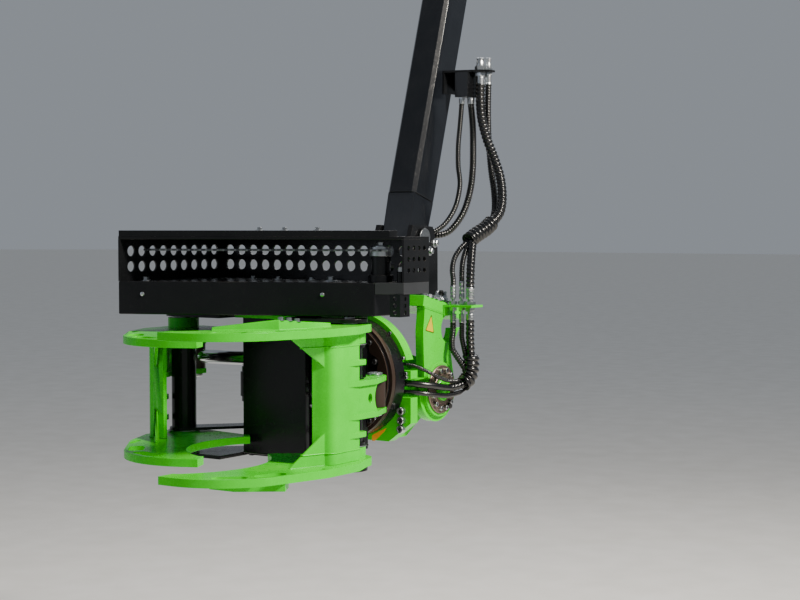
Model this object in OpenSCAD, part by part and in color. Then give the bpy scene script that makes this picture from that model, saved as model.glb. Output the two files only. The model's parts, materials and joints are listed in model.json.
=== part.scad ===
// Tree felling head with grapple arms and a swing saw, on the stick of its carrier machine.
// Millimetres, +Z up. The origin is the centre of the stick's upper pivot bore.
// The head points to -Y, and +X is its right side when seen from behind.

/* [Stick] */
// Upper pivot to the lower hanger pin, along the stick
stick_len = 2300; // [1900:10:2600]
// Lean of the stick from the vertical, towards +Y
stick_lean = 17; // [12:0.5:20]
// Width of the box beam, along X
stick_w = 160; // [140:2:190]
// Depth of the box beam
stick_d = 190; // [160:2:220]
// Bevel along the beam's long edges
stick_bevel = 18; // [8:1:30]
// Radius of the upper pivot bore
stick_bore_r = 40; // [30:1:50]
// Width of the upper pivot tube, along X
stick_tube_w = 220; // [200:2:260]

/* [Hanger and adapter] */
// Lean of the hanger and of the slab under it
hanger_lean = 13; // [8:0.5:18]
// Tilt axis to the lower hanger pin
hanger_up = 590; // [560:5:640]
// Distance between the two hanger pins
pin_pitch = 130; // [110:5:160]
// Radius of the hanger pins
hanger_pin_r = 30; // [24:1:36]
// Thickness of each hanger cheek
cheek_t = 25; // [16:1:32]
// Thickness of the adapter's side plates
side_t = 44; // [30:1:50]
// Inner distance between the adapter's side plates
side_gap = 512; // [500:2:560]
// Thickness of the adapter's slab
slab_t = 52; // [36:1:60]

/* [Tilt actuator] */
// Radius of the actuator's barrel
barrel_r = 112; // [95:1:125]
// Radius of the actuator's shaft
shaft_r = 55; // [40:1:65]
// Radius of the end flanges
end_r = 126; // [115:1:140]
// Thickness of the end flanges
end_t = 18; // [12:1:25]
// Radius of the end flanges' bolt circle
end_pcd_r = 104; // [95:1:112]

/* [Slewing ring] */
// Radius of the ring
ring_r = 275; // [255:5:290]
// Thickness of the fixed ring housing
ring_housing_t = 74; // [60:2:90]
// Thickness of the scalloped plate that turns with the head
ring_plate_t = 26; // [20:1:34]
// Number of bolts through the scalloped plate
ring_bolts = 14; // [10:1:18]
// Radius of the carrier's green flange
carrier_r = 295; // [280:5:310]
// Thickness of the carrier's flange
carrier_t = 56; // [40:1:70]

/* [Main frame] */
// Distance between the two arm pivots
pivot_spacing = 900; // [860:10:960]
// Thickness of the frame's upper and lower slabs
frame_t = 16; // [12:1:22]
// Radius of the arm pivot pins
pivot_pin_r = 32; // [25:1:36]
// Radius of the frame's pivot tubes
pivot_tube_r = 54; // [46:1:58]
// Width of the frame's neck
neck_w = 300; // [240:10:340]
// Width of the tree rest
rest_w = 340; // [280:10:380]

/* [Grapple arms] */
// Height over the outer faces of the right arm's plates
arm_h = 580; // [540:10:640]
// Thickness of the arm plates
arm_t = 32; // [24:1:36]
// Vertical gap between the right arm's plates and the left arm's
arm_gap = 10; // [8:1:16]
// Gap between the arms and the frame's slabs
slab_gap = 6; // [5:1:10]
// Reach of the arm tips in front of the pivots
arm_reach = 822; // [760:2:880]
// Thickness of the bent webs between the arm plates
web_t = 22; // [14:1:26]
// How much further the left arm is closed than the right
left_close = 25; // [20:1:27]
// Length of the levers behind the pivots
lever_len = 185; // [175:1:195]

/* [Grapple cylinders] */
// Radius of the cylinder barrels
cyl_r = 56; // [48:1:58]
// Radius of the rods
rod_r = 30; // [24:1:34]
// Length of the cylinder barrels
cyl_len = 400; // [360:5:420]
// Radius of the cylinder pins
cyl_pin_r = 25; // [20:1:28]
// Height of the rod eyes
eye_h = 108; // [90:2:112]

/* [Saw] */
// Turn of the saw case's front against the head
case_turn = 23.2; // [18:0.2:26]
// Height of the closed lower case
case_h = 138; // [120:2:150]
// Height of the perforated guard over the lower case, to its roof
guard_h = 212; // [190:2:240]
// Wall thickness of the perforated guard
guard_t = 8; // [6:1:12]
// Radius of the guard's large holes
guard_hole_r = 22; // [18:1:25]
// Pitch of the guard's large holes
guard_pitch = 67; // [60:1:80]
// Length of the guide bar from its swing axis
bar_len = 1010; // [900:10:1040]
// Width of the guide bar
bar_w = 110; // [90:2:120]
// Thickness of the guide bar
bar_t = 8; // [6:1:12]

/* [Hidden] */

$fn = 64;
fit = 0.3;

green = [0.42, 0.80, 0.30];
black = [0.09, 0.09, 0.10];
steel = [0.72, 0.73, 0.74];

// Places in the row's frame. The head's own frame has its origin midway between the arm pivots,
// and the tilt frame has its origin on the tilt axis.
tilt_back = 905;
tilt_z = -62;
pin_at = -stick_len * [0, sin(stick_lean), cos(stick_lean)];
tilt_at = pin_at - hanger_up * [0, sin(hanger_lean), cos(hanger_lean)];
head_at = tilt_at - [0, tilt_back, tilt_z];

// Heights of the arms and of the slabs over and under them, in the head's frame
arm_top = arm_h / 2;
inner_top = arm_top - arm_t - arm_gap;
slab_low = arm_top + slab_gap;
slab_top = slab_low + frame_t;
boss_low = inner_top - arm_t - 4;

// The arm's outline, for the right arm, from its pivot: -X is inwards and -Y is forwards
outer_x = 92;
bend_r = 330;
bend_at = [outer_x - bend_r, -(arm_reach - bend_r)];
gullet_r = 400;
gullet_at = [-560, -450];
tip_w = 84;
tip_x = -300;
root_at = [-331, -122];

// Lug heights of each cylinder: the right one lies lower, and they cross
lug_t = 22;
right_cyl_z = -13;
left_cyl_z = 104;
base_x = 260;
base_y = 235;

// Ring planes, in the head's frame
ring_y = 572;
housing_y = ring_y + ring_plate_t + 2;
flange_y = housing_y + ring_housing_t;

// The saw case: its front line runs from the right corner to the left end
case_low = slab_top + 10;
shelf_z = case_low + case_h;
roof_z = shelf_z + guard_h;
case_right = [678, 63];
case_left_x = -440;
case_back = 250;
case_lower_right = 122;
front_dir = [-cos(case_turn), -sin(case_turn)];
front_len = (case_right[0] - case_left_x) / cos(case_turn);
case_left = case_right + front_len * front_dir;
bar_z = roof_z - 85;
holder_drop = 20;
swing_at = case_right + 110 * front_dir + 75 * [-sin(case_turn), cos(case_turn)];

// Points on an arc, both ends included
function arc(c, r, a0, a1, n) =
    [for (i = [0:n]) c + r * [cos(a0 + (a1 - a0) * i / n), sin(a0 + (a1 - a0) * i / n)]];

module at_head() translate(head_at) children();
module at_tilt() translate(tilt_at) children();
module at_hanger() translate(tilt_at) rotate([-hanger_lean, 0, 0]) children();
module at_stick() rotate([-stick_lean, 0, 0]) children();

// A plate across X from a profile drawn as [Y, Z]
module plate_x(x, t) translate([x, 0, 0]) rotate([90, 0, 90]) linear_extrude(t) children();
module rod_x(r, x0, x1) translate([x0, 0, 0]) rotate([0, 90, 0]) cylinder(r = r, h = x1 - x0);
module rod_y(r, y0, y1) translate([0, y1, 0]) rotate([90, 0, 0]) cylinder(r = r, h = y1 - y0);
module bevelled(w, d, b) {
    polygon([[-w / 2 + b, -d / 2], [w / 2 - b, -d / 2], [w / 2, -d / 2 + b], [w / 2, d / 2 - b],
             [w / 2 - b, d / 2], [-w / 2 + b, d / 2], [-w / 2, d / 2 - b], [-w / 2, -d / 2 + b]]);
}

// Stick
beam_low = -(stick_len - 330);
beam_top = -60;
module stick_beam() {
    color(black) at_stick() difference() {
        union() {
            translate([0, 0, beam_low]) linear_extrude(beam_top - beam_low)
                bevelled(stick_w, stick_d, stick_bevel);
            rod_x(stick_bore_r + 45, -stick_tube_w / 2, stick_tube_w / 2);
        }
        rod_x(stick_bore_r, -stick_tube_w, stick_tube_w);
    }
}

tip_w_x = stick_w - 10;
module stick_tip() {
    color(black) at_stick() difference() {
        plate_x(-tip_w_x / 2, tip_w_x) polygon(concat(
            [[-stick_d / 2 + 8, beam_low], [-78, -stick_len + pin_pitch]],
            arc([0, -stick_len], 70, 190, 350, 12),
            [[78, -stick_len + pin_pitch], [stick_d / 2 - 8, beam_low]]));
        for (up = [0, pin_pitch]) translate([0, 0, up - stick_len])
            rod_x(hanger_pin_r + fit / 2, -stick_w, stick_w);
    }
}

ear_at = [stick_d / 2 + 85, -260];
module stick_ear() {
    color(black) at_stick() for (side = [-1, 1]) difference() {
        plate_x(side * 45 - 11, 22) polygon(concat(
            [[stick_d / 2, -420], [stick_d / 2, -120]],
            arc(ear_at, 62, 60, -60, 8)));
        translate([0, ear_at[0], ear_at[1]]) rod_x(30, -100, 100);
    }
}

// Bracket on the stick's right side, with the ports of its bulkhead and a valve body under it
bracket_up = -1334;
bracket_t = 10;
// Ports: x from the beam's side, y, hole radius
bulk_ports = [[160, 62, 19], [190, 88, 12]];
// Ports in the valve body's underside: x from the beam's side, y, hose radius
valve_ports = [[84, 14, 12], [112, 52, 16]];
valve_low = 120;
module on_bracket()
    at_stick() translate([stick_w / 2, 0, bracket_up]) rotate([stick_lean, 0, 0]) children();
module hose_bracket() {
    color(black) on_bracket() {
        difference() {
            union() {
                linear_extrude(bracket_t) polygon([[0, -30], [150, 10], [220, 50], [220, 100],
                                                   [190, 115], [0, 100]]);
                translate([0, -30, -100]) cube([8, 130, 100]);
                translate([8, 92, -90]) rotate([90, 0, 0]) linear_extrude(8)
                    polygon([[0, 0], [0, 90], [125, 90]]);
            }
            for (p = bulk_ports) translate([p[0], p[1], -1]) cylinder(r = p[2], h = bracket_t + 2);
        }
        translate([58, -8, -valve_low]) cube([72, 82, valve_low]);
    }
}

// Hanger and adapter
cheek_in = stick_w / 2 + 1;
cheek_top = hanger_up + 200;
slab_edge = 5;
slab_up = 351;
slab_front = -205;
slab_back = 150;
module hanger() {
    foot = slab_up + slab_t;
    color(black) at_hanger() difference() {
        union() {
            for (side = [0, 1]) mirror([side, 0, 0]) plate_x(cheek_in, cheek_t)
                polygon([[-140, foot], [-110, hanger_up - 30], [-85, cheek_top - 30], [85, cheek_top],
                         [150, cheek_top - 90], [205, hanger_up - 120],
                         [slab_back - slab_edge, foot]]);
            translate([-cheek_in, -140, foot]) cube([2 * cheek_in, 275, 60]);
        }
        for (up = [0, pin_pitch]) hanger_bore(up) rod_x(hanger_pin_r + fit / 2, -200, 200);
    }
}
// The upper pin follows the stick's lean, so it sits a little off the hanger's own line
module hanger_bore(up) {
    turn = stick_lean - hanger_lean;
    translate([0, up * sin(turn), hanger_up + up * cos(turn)]) children();
}
module hanger_pins() {
    half = cheek_in + cheek_t + 8;
    color(steel) at_hanger() for (up = [0, pin_pitch]) hanger_bore(up) {
        rod_x(hanger_pin_r, -half, half);
        for (side = [-1, 1]) translate([side * (half + 4), 0, 0]) rod_x(hanger_pin_r + 14, -4, 4);
    }
}

side_out = side_gap / 2 + side_t;
module adapter_slab() {
    color(green) at_hanger() difference() {
        translate([-side_out, slab_front, slab_up])
            cube([2 * side_out, slab_back - slab_front, slab_t]);
        translate([-side_gap / 2 + 60, 20, slab_up - 1])
            cube([side_gap - 120, 200, 30]);
    }
}

// Side plate as [Y, Z] from the tilt axis; the upper edge follows the leaning slab
function under_slab(y) = [y, (slab_up - y * sin(hanger_lean)) / cos(hanger_lean)];
module side_profile() {
    difference() {
        polygon(concat(
            [under_slab(-106), [-120, 271], [-110, 60]],
            arc([0, 0], 150, 165, 375, 20),
            [[112, 180], under_slab(225)]));
        translate([84, 275]) scale([0.85, 1]) circle(r = 62);
        translate([84, 275]) square([200, 60]);
    }
}
module adapter_side() {
    difference() {
        plate_x(side_gap / 2, side_t) side_profile();
        rod_x(shaft_r + fit, 0, side_out + 10);
    }
}
module adapter_side_right() {
    color(green) at_tilt() adapter_side();
}
module adapter_side_left() {
    color(green) at_tilt() mirror([1, 0, 0]) adapter_side();
}

module actuator_shaft() {
    color(steel) at_tilt() rod_x(shaft_r, -side_out - end_t - 6, side_out + end_t + 6);
}
module actuator_ends() {
    color(steel) at_tilt() for (side = [0, 1]) mirror([side, 0, 0]) difference() {
        rod_x(end_r, side_out, side_out + end_t);
        rod_x(shaft_r + fit, 0, side_out + 40);
    }
}

// Bulkhead plate on the slab's right end, level in the head's frame, with the hoses' ports
bulk_z = 316;
bulk_t = 10;
bulk_y = 1000;
// Ports: x, y, hole radius
adapter_ports = [[332, 990, 11], [372, 1002, 12], [418, 1000, 18]];
module bulkhead() {
    color(green) at_head() difference() {
        union() {
            translate([side_out, bulk_y - 50, bulk_z]) cube([156, 100, bulk_t]);
            translate([side_out, bulk_y - 50, bulk_z - 40]) cube([10, 60, 44]);
        }
        for (p = adapter_ports) translate([p[0], p[1], bulk_z - 1]) cylinder(r = p[2], h = 12);
    }
}
module valve_block() {
    color(steel) at_hanger() translate([side_out - 75, -35, slab_up + slab_t])
        cube([62, 80, 60]);
}

// Tilting carrier
module actuator_barrel() {
    half = side_gap / 2 - 6;
    color(green) at_tilt() difference() {
        union() {
            rod_x(barrel_r, -half, half);
            for (side = [-1, 1]) translate([side * (half - 22), 0, 0]) rod_x(barrel_r + 10, -20, 20);
        }
        rod_x(shaft_r + fit, -half - 10, half + 10);
    }
}
apron_w = 610;
apron_low = -290;
// Slots in the flange's right side, where hoses pass to the swivel: lowest and highest z
hose_slots = [[-84, 2], [38, 86]];
swivel_r = 98;
swivel_x = 120;
swivel_top = 86;
module carrier_outline() {
    union() {
        circle(r = carrier_r);
        polygon([[-apron_w / 2, 60], [apron_w / 2, 60], [apron_w / 2, apron_low + 90],
                 [apron_w / 2 - 120, apron_low], [-apron_w / 2 + 120, apron_low],
                 [-apron_w / 2, apron_low + 90]]);
    }
}
module carrier_flange() {
    color(green) at_head() difference() {
        translate([0, flange_y + carrier_t, 0]) rotate([90, 0, 0]) linear_extrude(carrier_t)
            carrier_outline();
        rod_y(swivel_r + 8, flange_y - 10, flange_y + carrier_t + 10);
        translate([0, flange_y - 10, -swivel_top]) cube([swivel_x + 4, carrier_t + 20, 2 * swivel_top]);
        for (slot = hose_slots) translate([swivel_x, flange_y - 10, slot[0]])
            cube([apron_w / 2, carrier_t + 20, slot[1] - slot[0]]);
    }
}
// Swivel for the oil, held by its flange on the back of the carrier's, with a port block on its right
module swivel() {
    back = flange_y + carrier_t;
    color(black) at_head() {
        rod_y(swivel_r, housing_y + 6, back + 30);
        rod_y(swivel_r + 34, back, back + 14);
        translate([60, flange_y + 2, -swivel_top + 1])
            cube([swivel_x - 60, carrier_t - 4, 2 * swivel_top - 2]);
    }
}
// Two gussets and a base plate carry the actuator behind the flange
module carrier_frame() {
    back = flange_y + carrier_t;
    color(green) at_head() difference() {
        union() {
            for (side = [0, 1]) mirror([side, 0, 0]) plate_x(150, 34)
                polygon(concat([[back, 130], [back, apron_low + 10], [back + 90, apron_low + 10]],
                               arc([tilt_back, tilt_z], barrel_r + 34, -60, 90, 10)));
            translate([-150, back, apron_low + 10]) cube([300, 120, 30]);
            translate([-150, back, -175]) cube([300, 70, 30]);
        }
        translate([0, tilt_back, tilt_z]) rod_x(barrel_r + fit, -300, 300);
    }
}
module ring_housing() {
    color(black) at_head() difference() {
        rod_y(ring_r, housing_y, flange_y);
        rod_y(150, housing_y - 10, flange_y + 10);
    }
}
module slew_motor() {
    y0 = flange_y + carrier_t;
    color(black) at_head() translate([-apron_w / 2 + 67, 0, apron_low + 40]) {
        rod_y(42, y0, y0 + 35);
        rod_y(36, y0 + 35, y0 + 90);
    }
}

// Head frame
ring_pcd_r = 215;
module ring_plate() {
    color(black) at_head() difference() {
        union() {
            rod_y(ring_r, ring_y, ring_y + ring_plate_t);
            rod_y(150 - fit, ring_y, flange_y - 2);
        }
        rod_y(112, ring_y - 10, flange_y + 10);
        difference() {
            rod_y(198, ring_y - 10, ring_y + 14);
            rod_y(150 - fit, ring_y - 10, ring_y + 60);
        }
        for (i = [0:ring_bolts - 1]) rotate([0, i * 360 / ring_bolts, 0])
            translate([ring_pcd_r, 0, 0]) rod_y(34, ring_y - 10, ring_y + 60);
    }
}
half_p = pivot_spacing / 2;
module slab_outline(r) {
    polygon(concat(
        arc([half_p, 0], r, -90, 40, 8),
        [[neck_w / 2, 380], [neck_w / 2, ring_y - 12], [-neck_w / 2, ring_y - 12],
         [-neck_w / 2, 380]],
        arc([-half_p, 0], r, 140, 270, 8),
        [[-rest_w / 2 - 8, -r], [-rest_w / 2 - 8, 112], [rest_w / 2 + 8, 112],
         [rest_w / 2 + 8, -r]]));
}
module frame_slab(z) {
    difference() {
        translate([0, 0, z]) linear_extrude(frame_t) slab_outline(76);
        for (side = [-1, 1]) translate([side * half_p, 0, z - 1])
            cylinder(r = pivot_pin_r + fit, h = frame_t + 2);
    }
}
module frame_top() {
    color(black) at_head() frame_slab(slab_low);
}
module frame_bottom() {
    color(black) at_head() frame_slab(-slab_top);
}
// Closed box behind the arms, the round end that the ring plate bolts to, and the cylinder clevises
box_front = 330;
module frame_box() {
    color(black) at_head() {
        difference() {
            translate([-neck_w / 2, box_front, -slab_low])
                cube([neck_w, ring_y - 12 - box_front, 2 * slab_low]);
            translate([-neck_w / 2 + 20, box_front - 1, -slab_low + 60])
                cube([neck_w - 40, 170, 2 * slab_low - 120]);
        }
        rod_y(262, ring_y - 12, ring_y);
        for (side = [-1, 1], cz = [side > 0 ? left_cyl_z : right_cyl_z], up = [-1, 1])
            clevis_plate(side, cz + up * (eye_h / 2 + lug_t / 2 + 2));
    }
}
clevis_r = cyl_pin_r + 17;
module clevis_plate(side, z) {
    difference() {
        translate([0, 0, z - lug_t / 2]) linear_extrude(lug_t) polygon(concat(
            arc([side * base_x, base_y], clevis_r, side > 0 ? 60 : 120, side > 0 ? -150 : 330, 10),
            [[side * 120, box_front], [side * neck_w / 2, box_front],
             [side * neck_w / 2, box_front + 100]]));
        translate([side * base_x, base_y, z - 20]) cylinder(r = cyl_pin_r + fit, h = 40);
    }
}
// Mid plates tie the pivot tubes to the box
mid_t = 12;
mid_z = boss_low - 5 - mid_t / 2;
module frame_mid_plates() {
    color(black) at_head() for (side = [0, 1], up = [-1, 1]) mirror([side, 0, 0])
        translate([0, 0, up * mid_z - mid_t / 2]) difference() {
            linear_extrude(mid_t) polygon(concat(
                arc([half_p, 0], 64, -110, 40, 8),
                [[neck_w / 2, 430], [neck_w / 2, 290]]));
            translate([half_p, 0, -1]) cylinder(r = pivot_tube_r + fit, h = mid_t + 2);
        }
}
module pivot_tubes() {
    half = boss_low - 6;
    color(black) at_head() for (side = [-1, 1]) translate([side * half_p, 0, -half]) difference() {
        cylinder(r = pivot_tube_r, h = 2 * half);
        translate([0, 0, -1]) cylinder(r = pivot_pin_r + fit, h = 2 * half + 2);
    }
}
module pivot_pins() {
    color(steel) at_head() for (side = [-1, 1]) translate([side * half_p, 0, 0]) {
        translate([0, 0, -slab_top]) cylinder(r = pivot_pin_r, h = 2 * slab_top);
        for (up = [0, 1]) mirror([0, 0, up]) translate([0, 0, slab_top]) cylinder(r = 24, h = 7);
    }
}
rest_y = 70;
module tree_rest() {
    color(black) at_head() {
        translate([-rest_w / 2, rest_y, -slab_low]) cube([rest_w, 25, 2 * slab_low]);
        for (side = [-1, 1]) translate([side * (rest_w / 2 - 20) - 10, rest_y + 25, -slab_top])
            cube([20, 17, 2 * slab_top]);
    }
}
module rest_block() {
    color(green) at_head() translate([-rest_w / 2, 15, slab_low]) cube([rest_w, 80, frame_t]);
}

// Saw case, guard and bar
module case_plan(inset, right_cut) {
    polygon([case_right + right_cut * front_dir + [0, inset],
             case_left + [inset, inset * 1.4],
             [case_left_x + inset, case_back - inset],
             [case_right[0] + right_cut * front_dir[0], case_back - inset]]);
}
module saw_case() {
    color(black) at_head() difference() {
        translate([0, 0, case_low]) linear_extrude(case_h) case_plan(0, case_lower_right);
        translate([0, 0, case_low + 8]) linear_extrude(case_h - 16)
            case_plan(8, case_lower_right + 8);
    }
}
module case_pads() {
    color(black) at_head() for (side = [-1, 1]) translate([side * 100 - 40, 130, slab_top])
        cube([80, 100, case_low - slab_top]);
}
module guard_band() {
    difference() {
        case_plan(0, 0);
        polygon([case_right + [-guard_t, -60], case_left + [guard_t, -60],
                 [case_left_x + guard_t, case_back - guard_t],
                 [case_right[0] - guard_t, case_back - guard_t]]);
    }
}
guard_rows = [60, 60 + 65];
module saw_guard() {
    depth = case_back - case_left[1];
    color(black) at_head() difference() {
        translate([0, 0, shelf_z]) linear_extrude(guard_h - 37) guard_band();
        for (i = [0:15], up = guard_rows)
            translate([case_left_x + 55 + i * guard_pitch, case_back, shelf_z + up])
                rod_y(guard_hole_r, -20, 20);
        for (i = [0:8], up = guard_rows)
            translate([case_left_x, case_left[1] + 70 + i * guard_pitch, shelf_z + up])
                rod_x(guard_hole_r, -20, 20);
        for (i = [0:3], k = [0:2])
            translate([case_right[0], case_right[1] + 35 + i * 39, shelf_z + 50 + k * 45])
                rod_x(10, -20, 20);
    }
}
module guard_roof() {
    color(black) at_head() translate([0, 0, roof_z - 37]) {
        linear_extrude(12) case_plan(0, 0);
        translate([0, 0, 12]) linear_extrude(25)
            polygon([case_right + 60 * front_dir + [0, 2], case_left + [0.8, 2],
                     case_left + [0.8, 60], case_right + 60 * front_dir + [0, 60]]);
    }
}
module guard_rail() {
    r = case_right;
    color([0.2, 0.2, 0.21]) at_head() translate([0, 0, shelf_z - 47]) linear_extrude(47)
        polygon([r + (case_lower_right - 1) * front_dir, r, [r[0], case_back],
                 [r[0] - 30, case_back], [r[0] - 30, r[1] + 40],
                 r + (case_lower_right - 1) * front_dir + [0, 45]]);
}
module saw_motor() {
    color(black) at_head() translate([swing_at[0], swing_at[1], shelf_z]) {
        cylinder(r = 52, h = 30);
        cylinder(r = 40, h = bar_z - holder_drop - shelf_z);
    }
}
module perforated_bracket() {
    color(black) at_head() translate([case_right[0] - 60, case_right[1] - 14, shelf_z - 47 - 92]) {
        cube([45, 6, 92]);
        translate([45, 0, 0]) cube([6, 70, 92]);
    }
}
module saw_bar() {
    color(steel) at_head() translate([swing_at[0], swing_at[1], bar_z]) rotate(180 + case_turn)
        difference() {
            linear_extrude(bar_t) union() {
                translate([-40, -bar_w / 2]) square([bar_len + 40 - bar_w / 2, bar_w]);
                translate([bar_len - bar_w / 2, 0]) circle(r = bar_w / 2);
            }
            translate([0, 0, -1]) cylinder(r = 18, h = bar_t + 2);
        }
}
module saw_holder() {
    color(steel) at_head() translate([swing_at[0], swing_at[1], bar_z]) {
        translate([0, 0, fit - holder_drop]) cylinder(r = 46, h = holder_drop - fit);
        translate([0, 0, bar_t]) cylinder(r = 46, h = 10);
        cylinder(r = 17.7, h = bar_t);
    }
}

// Grapple arms, drawn for the right arm
// One plate with its round boss, which stands out by boss_h from the face that boss_z names, and with
// two long slots along its rim
slot_angles = [-14, -48];
rim_out = 46;
rim_slot_t = 24;
module rim_slot() {
    for (end = [-1, 1]) translate([bend_r - 50, end * 38, 0]) circle(r = 32);
    translate([bend_r - 50 - 32, -38, 0]) square([64, 76]);
}
module arm_plate(z, boss_z, boss_h) {
    difference() {
        union() {
            translate([0, 0, z]) linear_extrude(arm_t) polygon(concat(
                arc([0, 0], outer_x, 90, 0, 10),
                [[outer_x + rim_out, -120], [outer_x + rim_out, -330]],
                arc(bend_at, bend_r, -20, -90, 14),
                [[tip_x, -arm_reach], [tip_x, -arm_reach + tip_w]],
                arc(gullet_at, gullet_r, -46, 55, 20),
                [root_at + [12, 40], [-60, outer_x]]));
            translate([0, 0, boss_z]) cylinder(r = 68, h = boss_h);
        }
        translate([0, 0, z - 60]) cylinder(r = pivot_pin_r + fit, h = arm_t + 120);
        for (a = slot_angles) translate([bend_at[0], bend_at[1], z - 1]) rotate(a)
            linear_extrude(arm_t + 2) rim_slot();
        translate([0, 0, z - 1]) linear_extrude(arm_t + 2) {
            for (y = [-325, -405]) translate([outer_x + 14, y]) circle(r = rim_slot_t / 2);
            translate([outer_x + 14 - rim_slot_t / 2, -405]) square([rim_slot_t, 80]);
        }
    }
}
// Bent web between the plates, haunches that run out along them, and ribs that wrap its outer face
web_back = -52;
web_out = outer_x - 2;
web_in = web_out - web_t;
web_bend = -205;
web_bend_r = 40;
flange_turn = 65;
flange_len = 62;
haunch_turn = 19;
haunch_len = 158;
haunch_t = 14;
haunch_h = 130;
rib_t = 22;
rib_out = outer_x + 8;
function along(turn, len) = -len * [sin(turn), cos(turn)];
module arm_web(top, ribs) {
    half = top - arm_t;
    c = [web_out - web_bend_r, web_bend];
    turned_in = c + web_bend_r * [cos(flange_turn), -sin(flange_turn)];
    translate([0, 0, -half]) linear_extrude(2 * half) polygon(concat(
        [[web_in, web_back], [web_out, web_back]],
        arc(c, web_bend_r, 0, -flange_turn, 6),
        [turned_in + along(flange_turn, flange_len),
         turned_in + along(flange_turn, flange_len) - web_t * [cos(flange_turn), -sin(flange_turn)]],
        arc(c, web_bend_r - web_t, -flange_turn, 0, 4)));
    foot = turned_in + along(flange_turn, flange_len / 3);
    for (side = [0, 1]) mirror([0, 0, side]) translate([foot[0], foot[1], 0]) rotate(-haunch_turn)
        plate_x(-haunch_t / 2, haunch_t) polygon([[12, half], [-haunch_len, half], [12, half - haunch_h]]);
    for (z = ribs) translate([0, 0, z - rib_t / 2]) linear_extrude(rib_t) polygon(concat(
        [[web_in + 2, -135], [web_out - 1, -135], [rib_out, -70]],
        arc([rib_out - 19, -26], 19, 0, 180, 8),
        [[rib_out - 38, -60]]));
}
module arm_lugs(cz) {
    for (up = [-1, 1]) difference() {
        translate([0, 0, cz + up * (eye_h / 2 + lug_t / 2 + 2) - lug_t / 2]) linear_extrude(lug_t)
            polygon(concat(
                [[web_in, web_back], [web_out, web_back], [web_out, -130], [rib_out, -60],
                 [rib_out, 60]],
                arc([0, lever_len], 48, 30, 180, 10),
                [[20, 90]],
                arc([0, 0], pivot_tube_r + 8, 60, -20, 8)));
        translate([0, lever_len, cz - 150]) cylinder(r = cyl_pin_r + fit, h = 300);
    }
    translate([0, 0, cz]) difference() {
        translate([outer_x - 24, web_back, -eye_h / 2 - 2]) cube([20, 130, eye_h + 4]);
        translate([0, 26, 0]) scale([1, 0.7, 1]) rod_x(20, 50, 120);
        translate([0, 150, 0]) rod_x(90, 50, 120);
    }
}
// Short pins in the lugs' bores, with a washer over the upper one and one under the lower
module lever_pins(cz) {
    half = eye_h / 2 + 4;
    translate([0, lever_len, cz]) for (up = [0, 1]) mirror([0, 0, up]) {
        translate([0, 0, half]) cylinder(r = cyl_pin_r, h = lug_t);
        translate([0, 0, half + lug_t - 2]) cylinder(r = cyl_pin_r + 7, h = 8);
    }
}
module right_arm_place() at_head() translate([half_p, 0, 0]) children();
module left_arm_place()
    at_head() translate([-half_p, 0, 0]) rotate(left_close) mirror([1, 0, 0]) children();

module arm_right_top() {
    color(green) right_arm_place()
        arm_plate(arm_top - arm_t, boss_low, arm_top - boss_low);
}
module arm_right_bottom() {
    color(green) right_arm_place() {
        arm_plate(-arm_top, -arm_top, arm_top - boss_low);
        translate([0, 0, -arm_top - doubler_t]) linear_extrude(doubler_t) polygon(doubler);
    }
}
// Wedge of plate under the right arm, with its point at the rim
doubler_t = 30;
doubler = [[86, -535], [-70, -650], [-190, -655], [-150, -540], [-95, -440], [-20, -380], [36, -450]];
module arm_right_web() {
    color(green) right_arm_place() arm_web(arm_top, [139, -154]);
}
module arm_right_lugs() {
    color(green) right_arm_place() arm_lugs(right_cyl_z);
}
module lever_pins_right() {
    color(steel) right_arm_place() lever_pins(right_cyl_z);
}
module lever_pins_left() {
    color(steel) left_arm_place() lever_pins(left_cyl_z);
}
module arm_left_top() {
    color(green) left_arm_place()
        arm_plate(inner_top - arm_t, boss_low, arm_top - boss_low);
}
module arm_left_bottom() {
    color(green) left_arm_place()
        arm_plate(-inner_top, -arm_top, arm_top - boss_low);
}
module arm_left_web() {
    color(green) left_arm_place() arm_web(inner_top, [-60, -150]);
}
module arm_left_lugs() {
    color(green) left_arm_place() arm_lugs(left_cyl_z);
}

// Grapple cylinders: base pin on the frame's far side, eye between the arm's lugs
function turned(p, a) = [p[0] * cos(a) - p[1] * sin(a), p[0] * sin(a) + p[1] * cos(a)];
right_eye = [half_p, 0] + turned([0, lever_len], 0);
left_eye = [-half_p, 0] + turned([0, lever_len], left_close);
module cylinder_at(base, eye, z) {
    d = eye - base;
    translate([base[0], base[1], z]) rotate(atan2(d[1], d[0])) children();
}
// The barrel's base carries its pin; the rod's eye stands between the lugs, free of their pins,
// because the linkage is opened there
bore_end = 80;
// How far each rod may go back into its barrel from where it stands
right_back = 150;
left_back = 230;
module barrel() {
    difference() {
        union() {
            cylinder(r = 48, h = eye_h, center = true);
            rod_x(cyl_r, 30, cyl_len);
        }
        rod_x(rod_r + fit, bore_end, cyl_len + 1);
    }
    cylinder(r = cyl_pin_r, h = eye_h + 2 * lug_t + 16, center = true);
}
module piston_rod(len, back) {
    rod_x(rod_r, bore_end + back, len - 30);
    translate([len, 0, 0]) cylinder(r = cyl_pin_r + 19, h = eye_h, center = true);
}
module cylinder_right() {
    color(black) at_head() cylinder_at([-base_x, base_y], right_eye, right_cyl_z) barrel();
}
module rod_right() {
    color(steel) at_head() cylinder_at([-base_x, base_y], right_eye, right_cyl_z)
        piston_rod(norm(right_eye - [-base_x, base_y]), right_back);
}
module cylinder_left() {
    color(black) at_head() cylinder_at([base_x, base_y], left_eye, left_cyl_z) barrel();
}
module rod_left() {
    color(steel) at_head() cylinder_at([base_x, base_y], left_eye, left_cyl_z)
        piston_rod(norm(left_eye - [base_x, base_y]), left_back);
}

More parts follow.
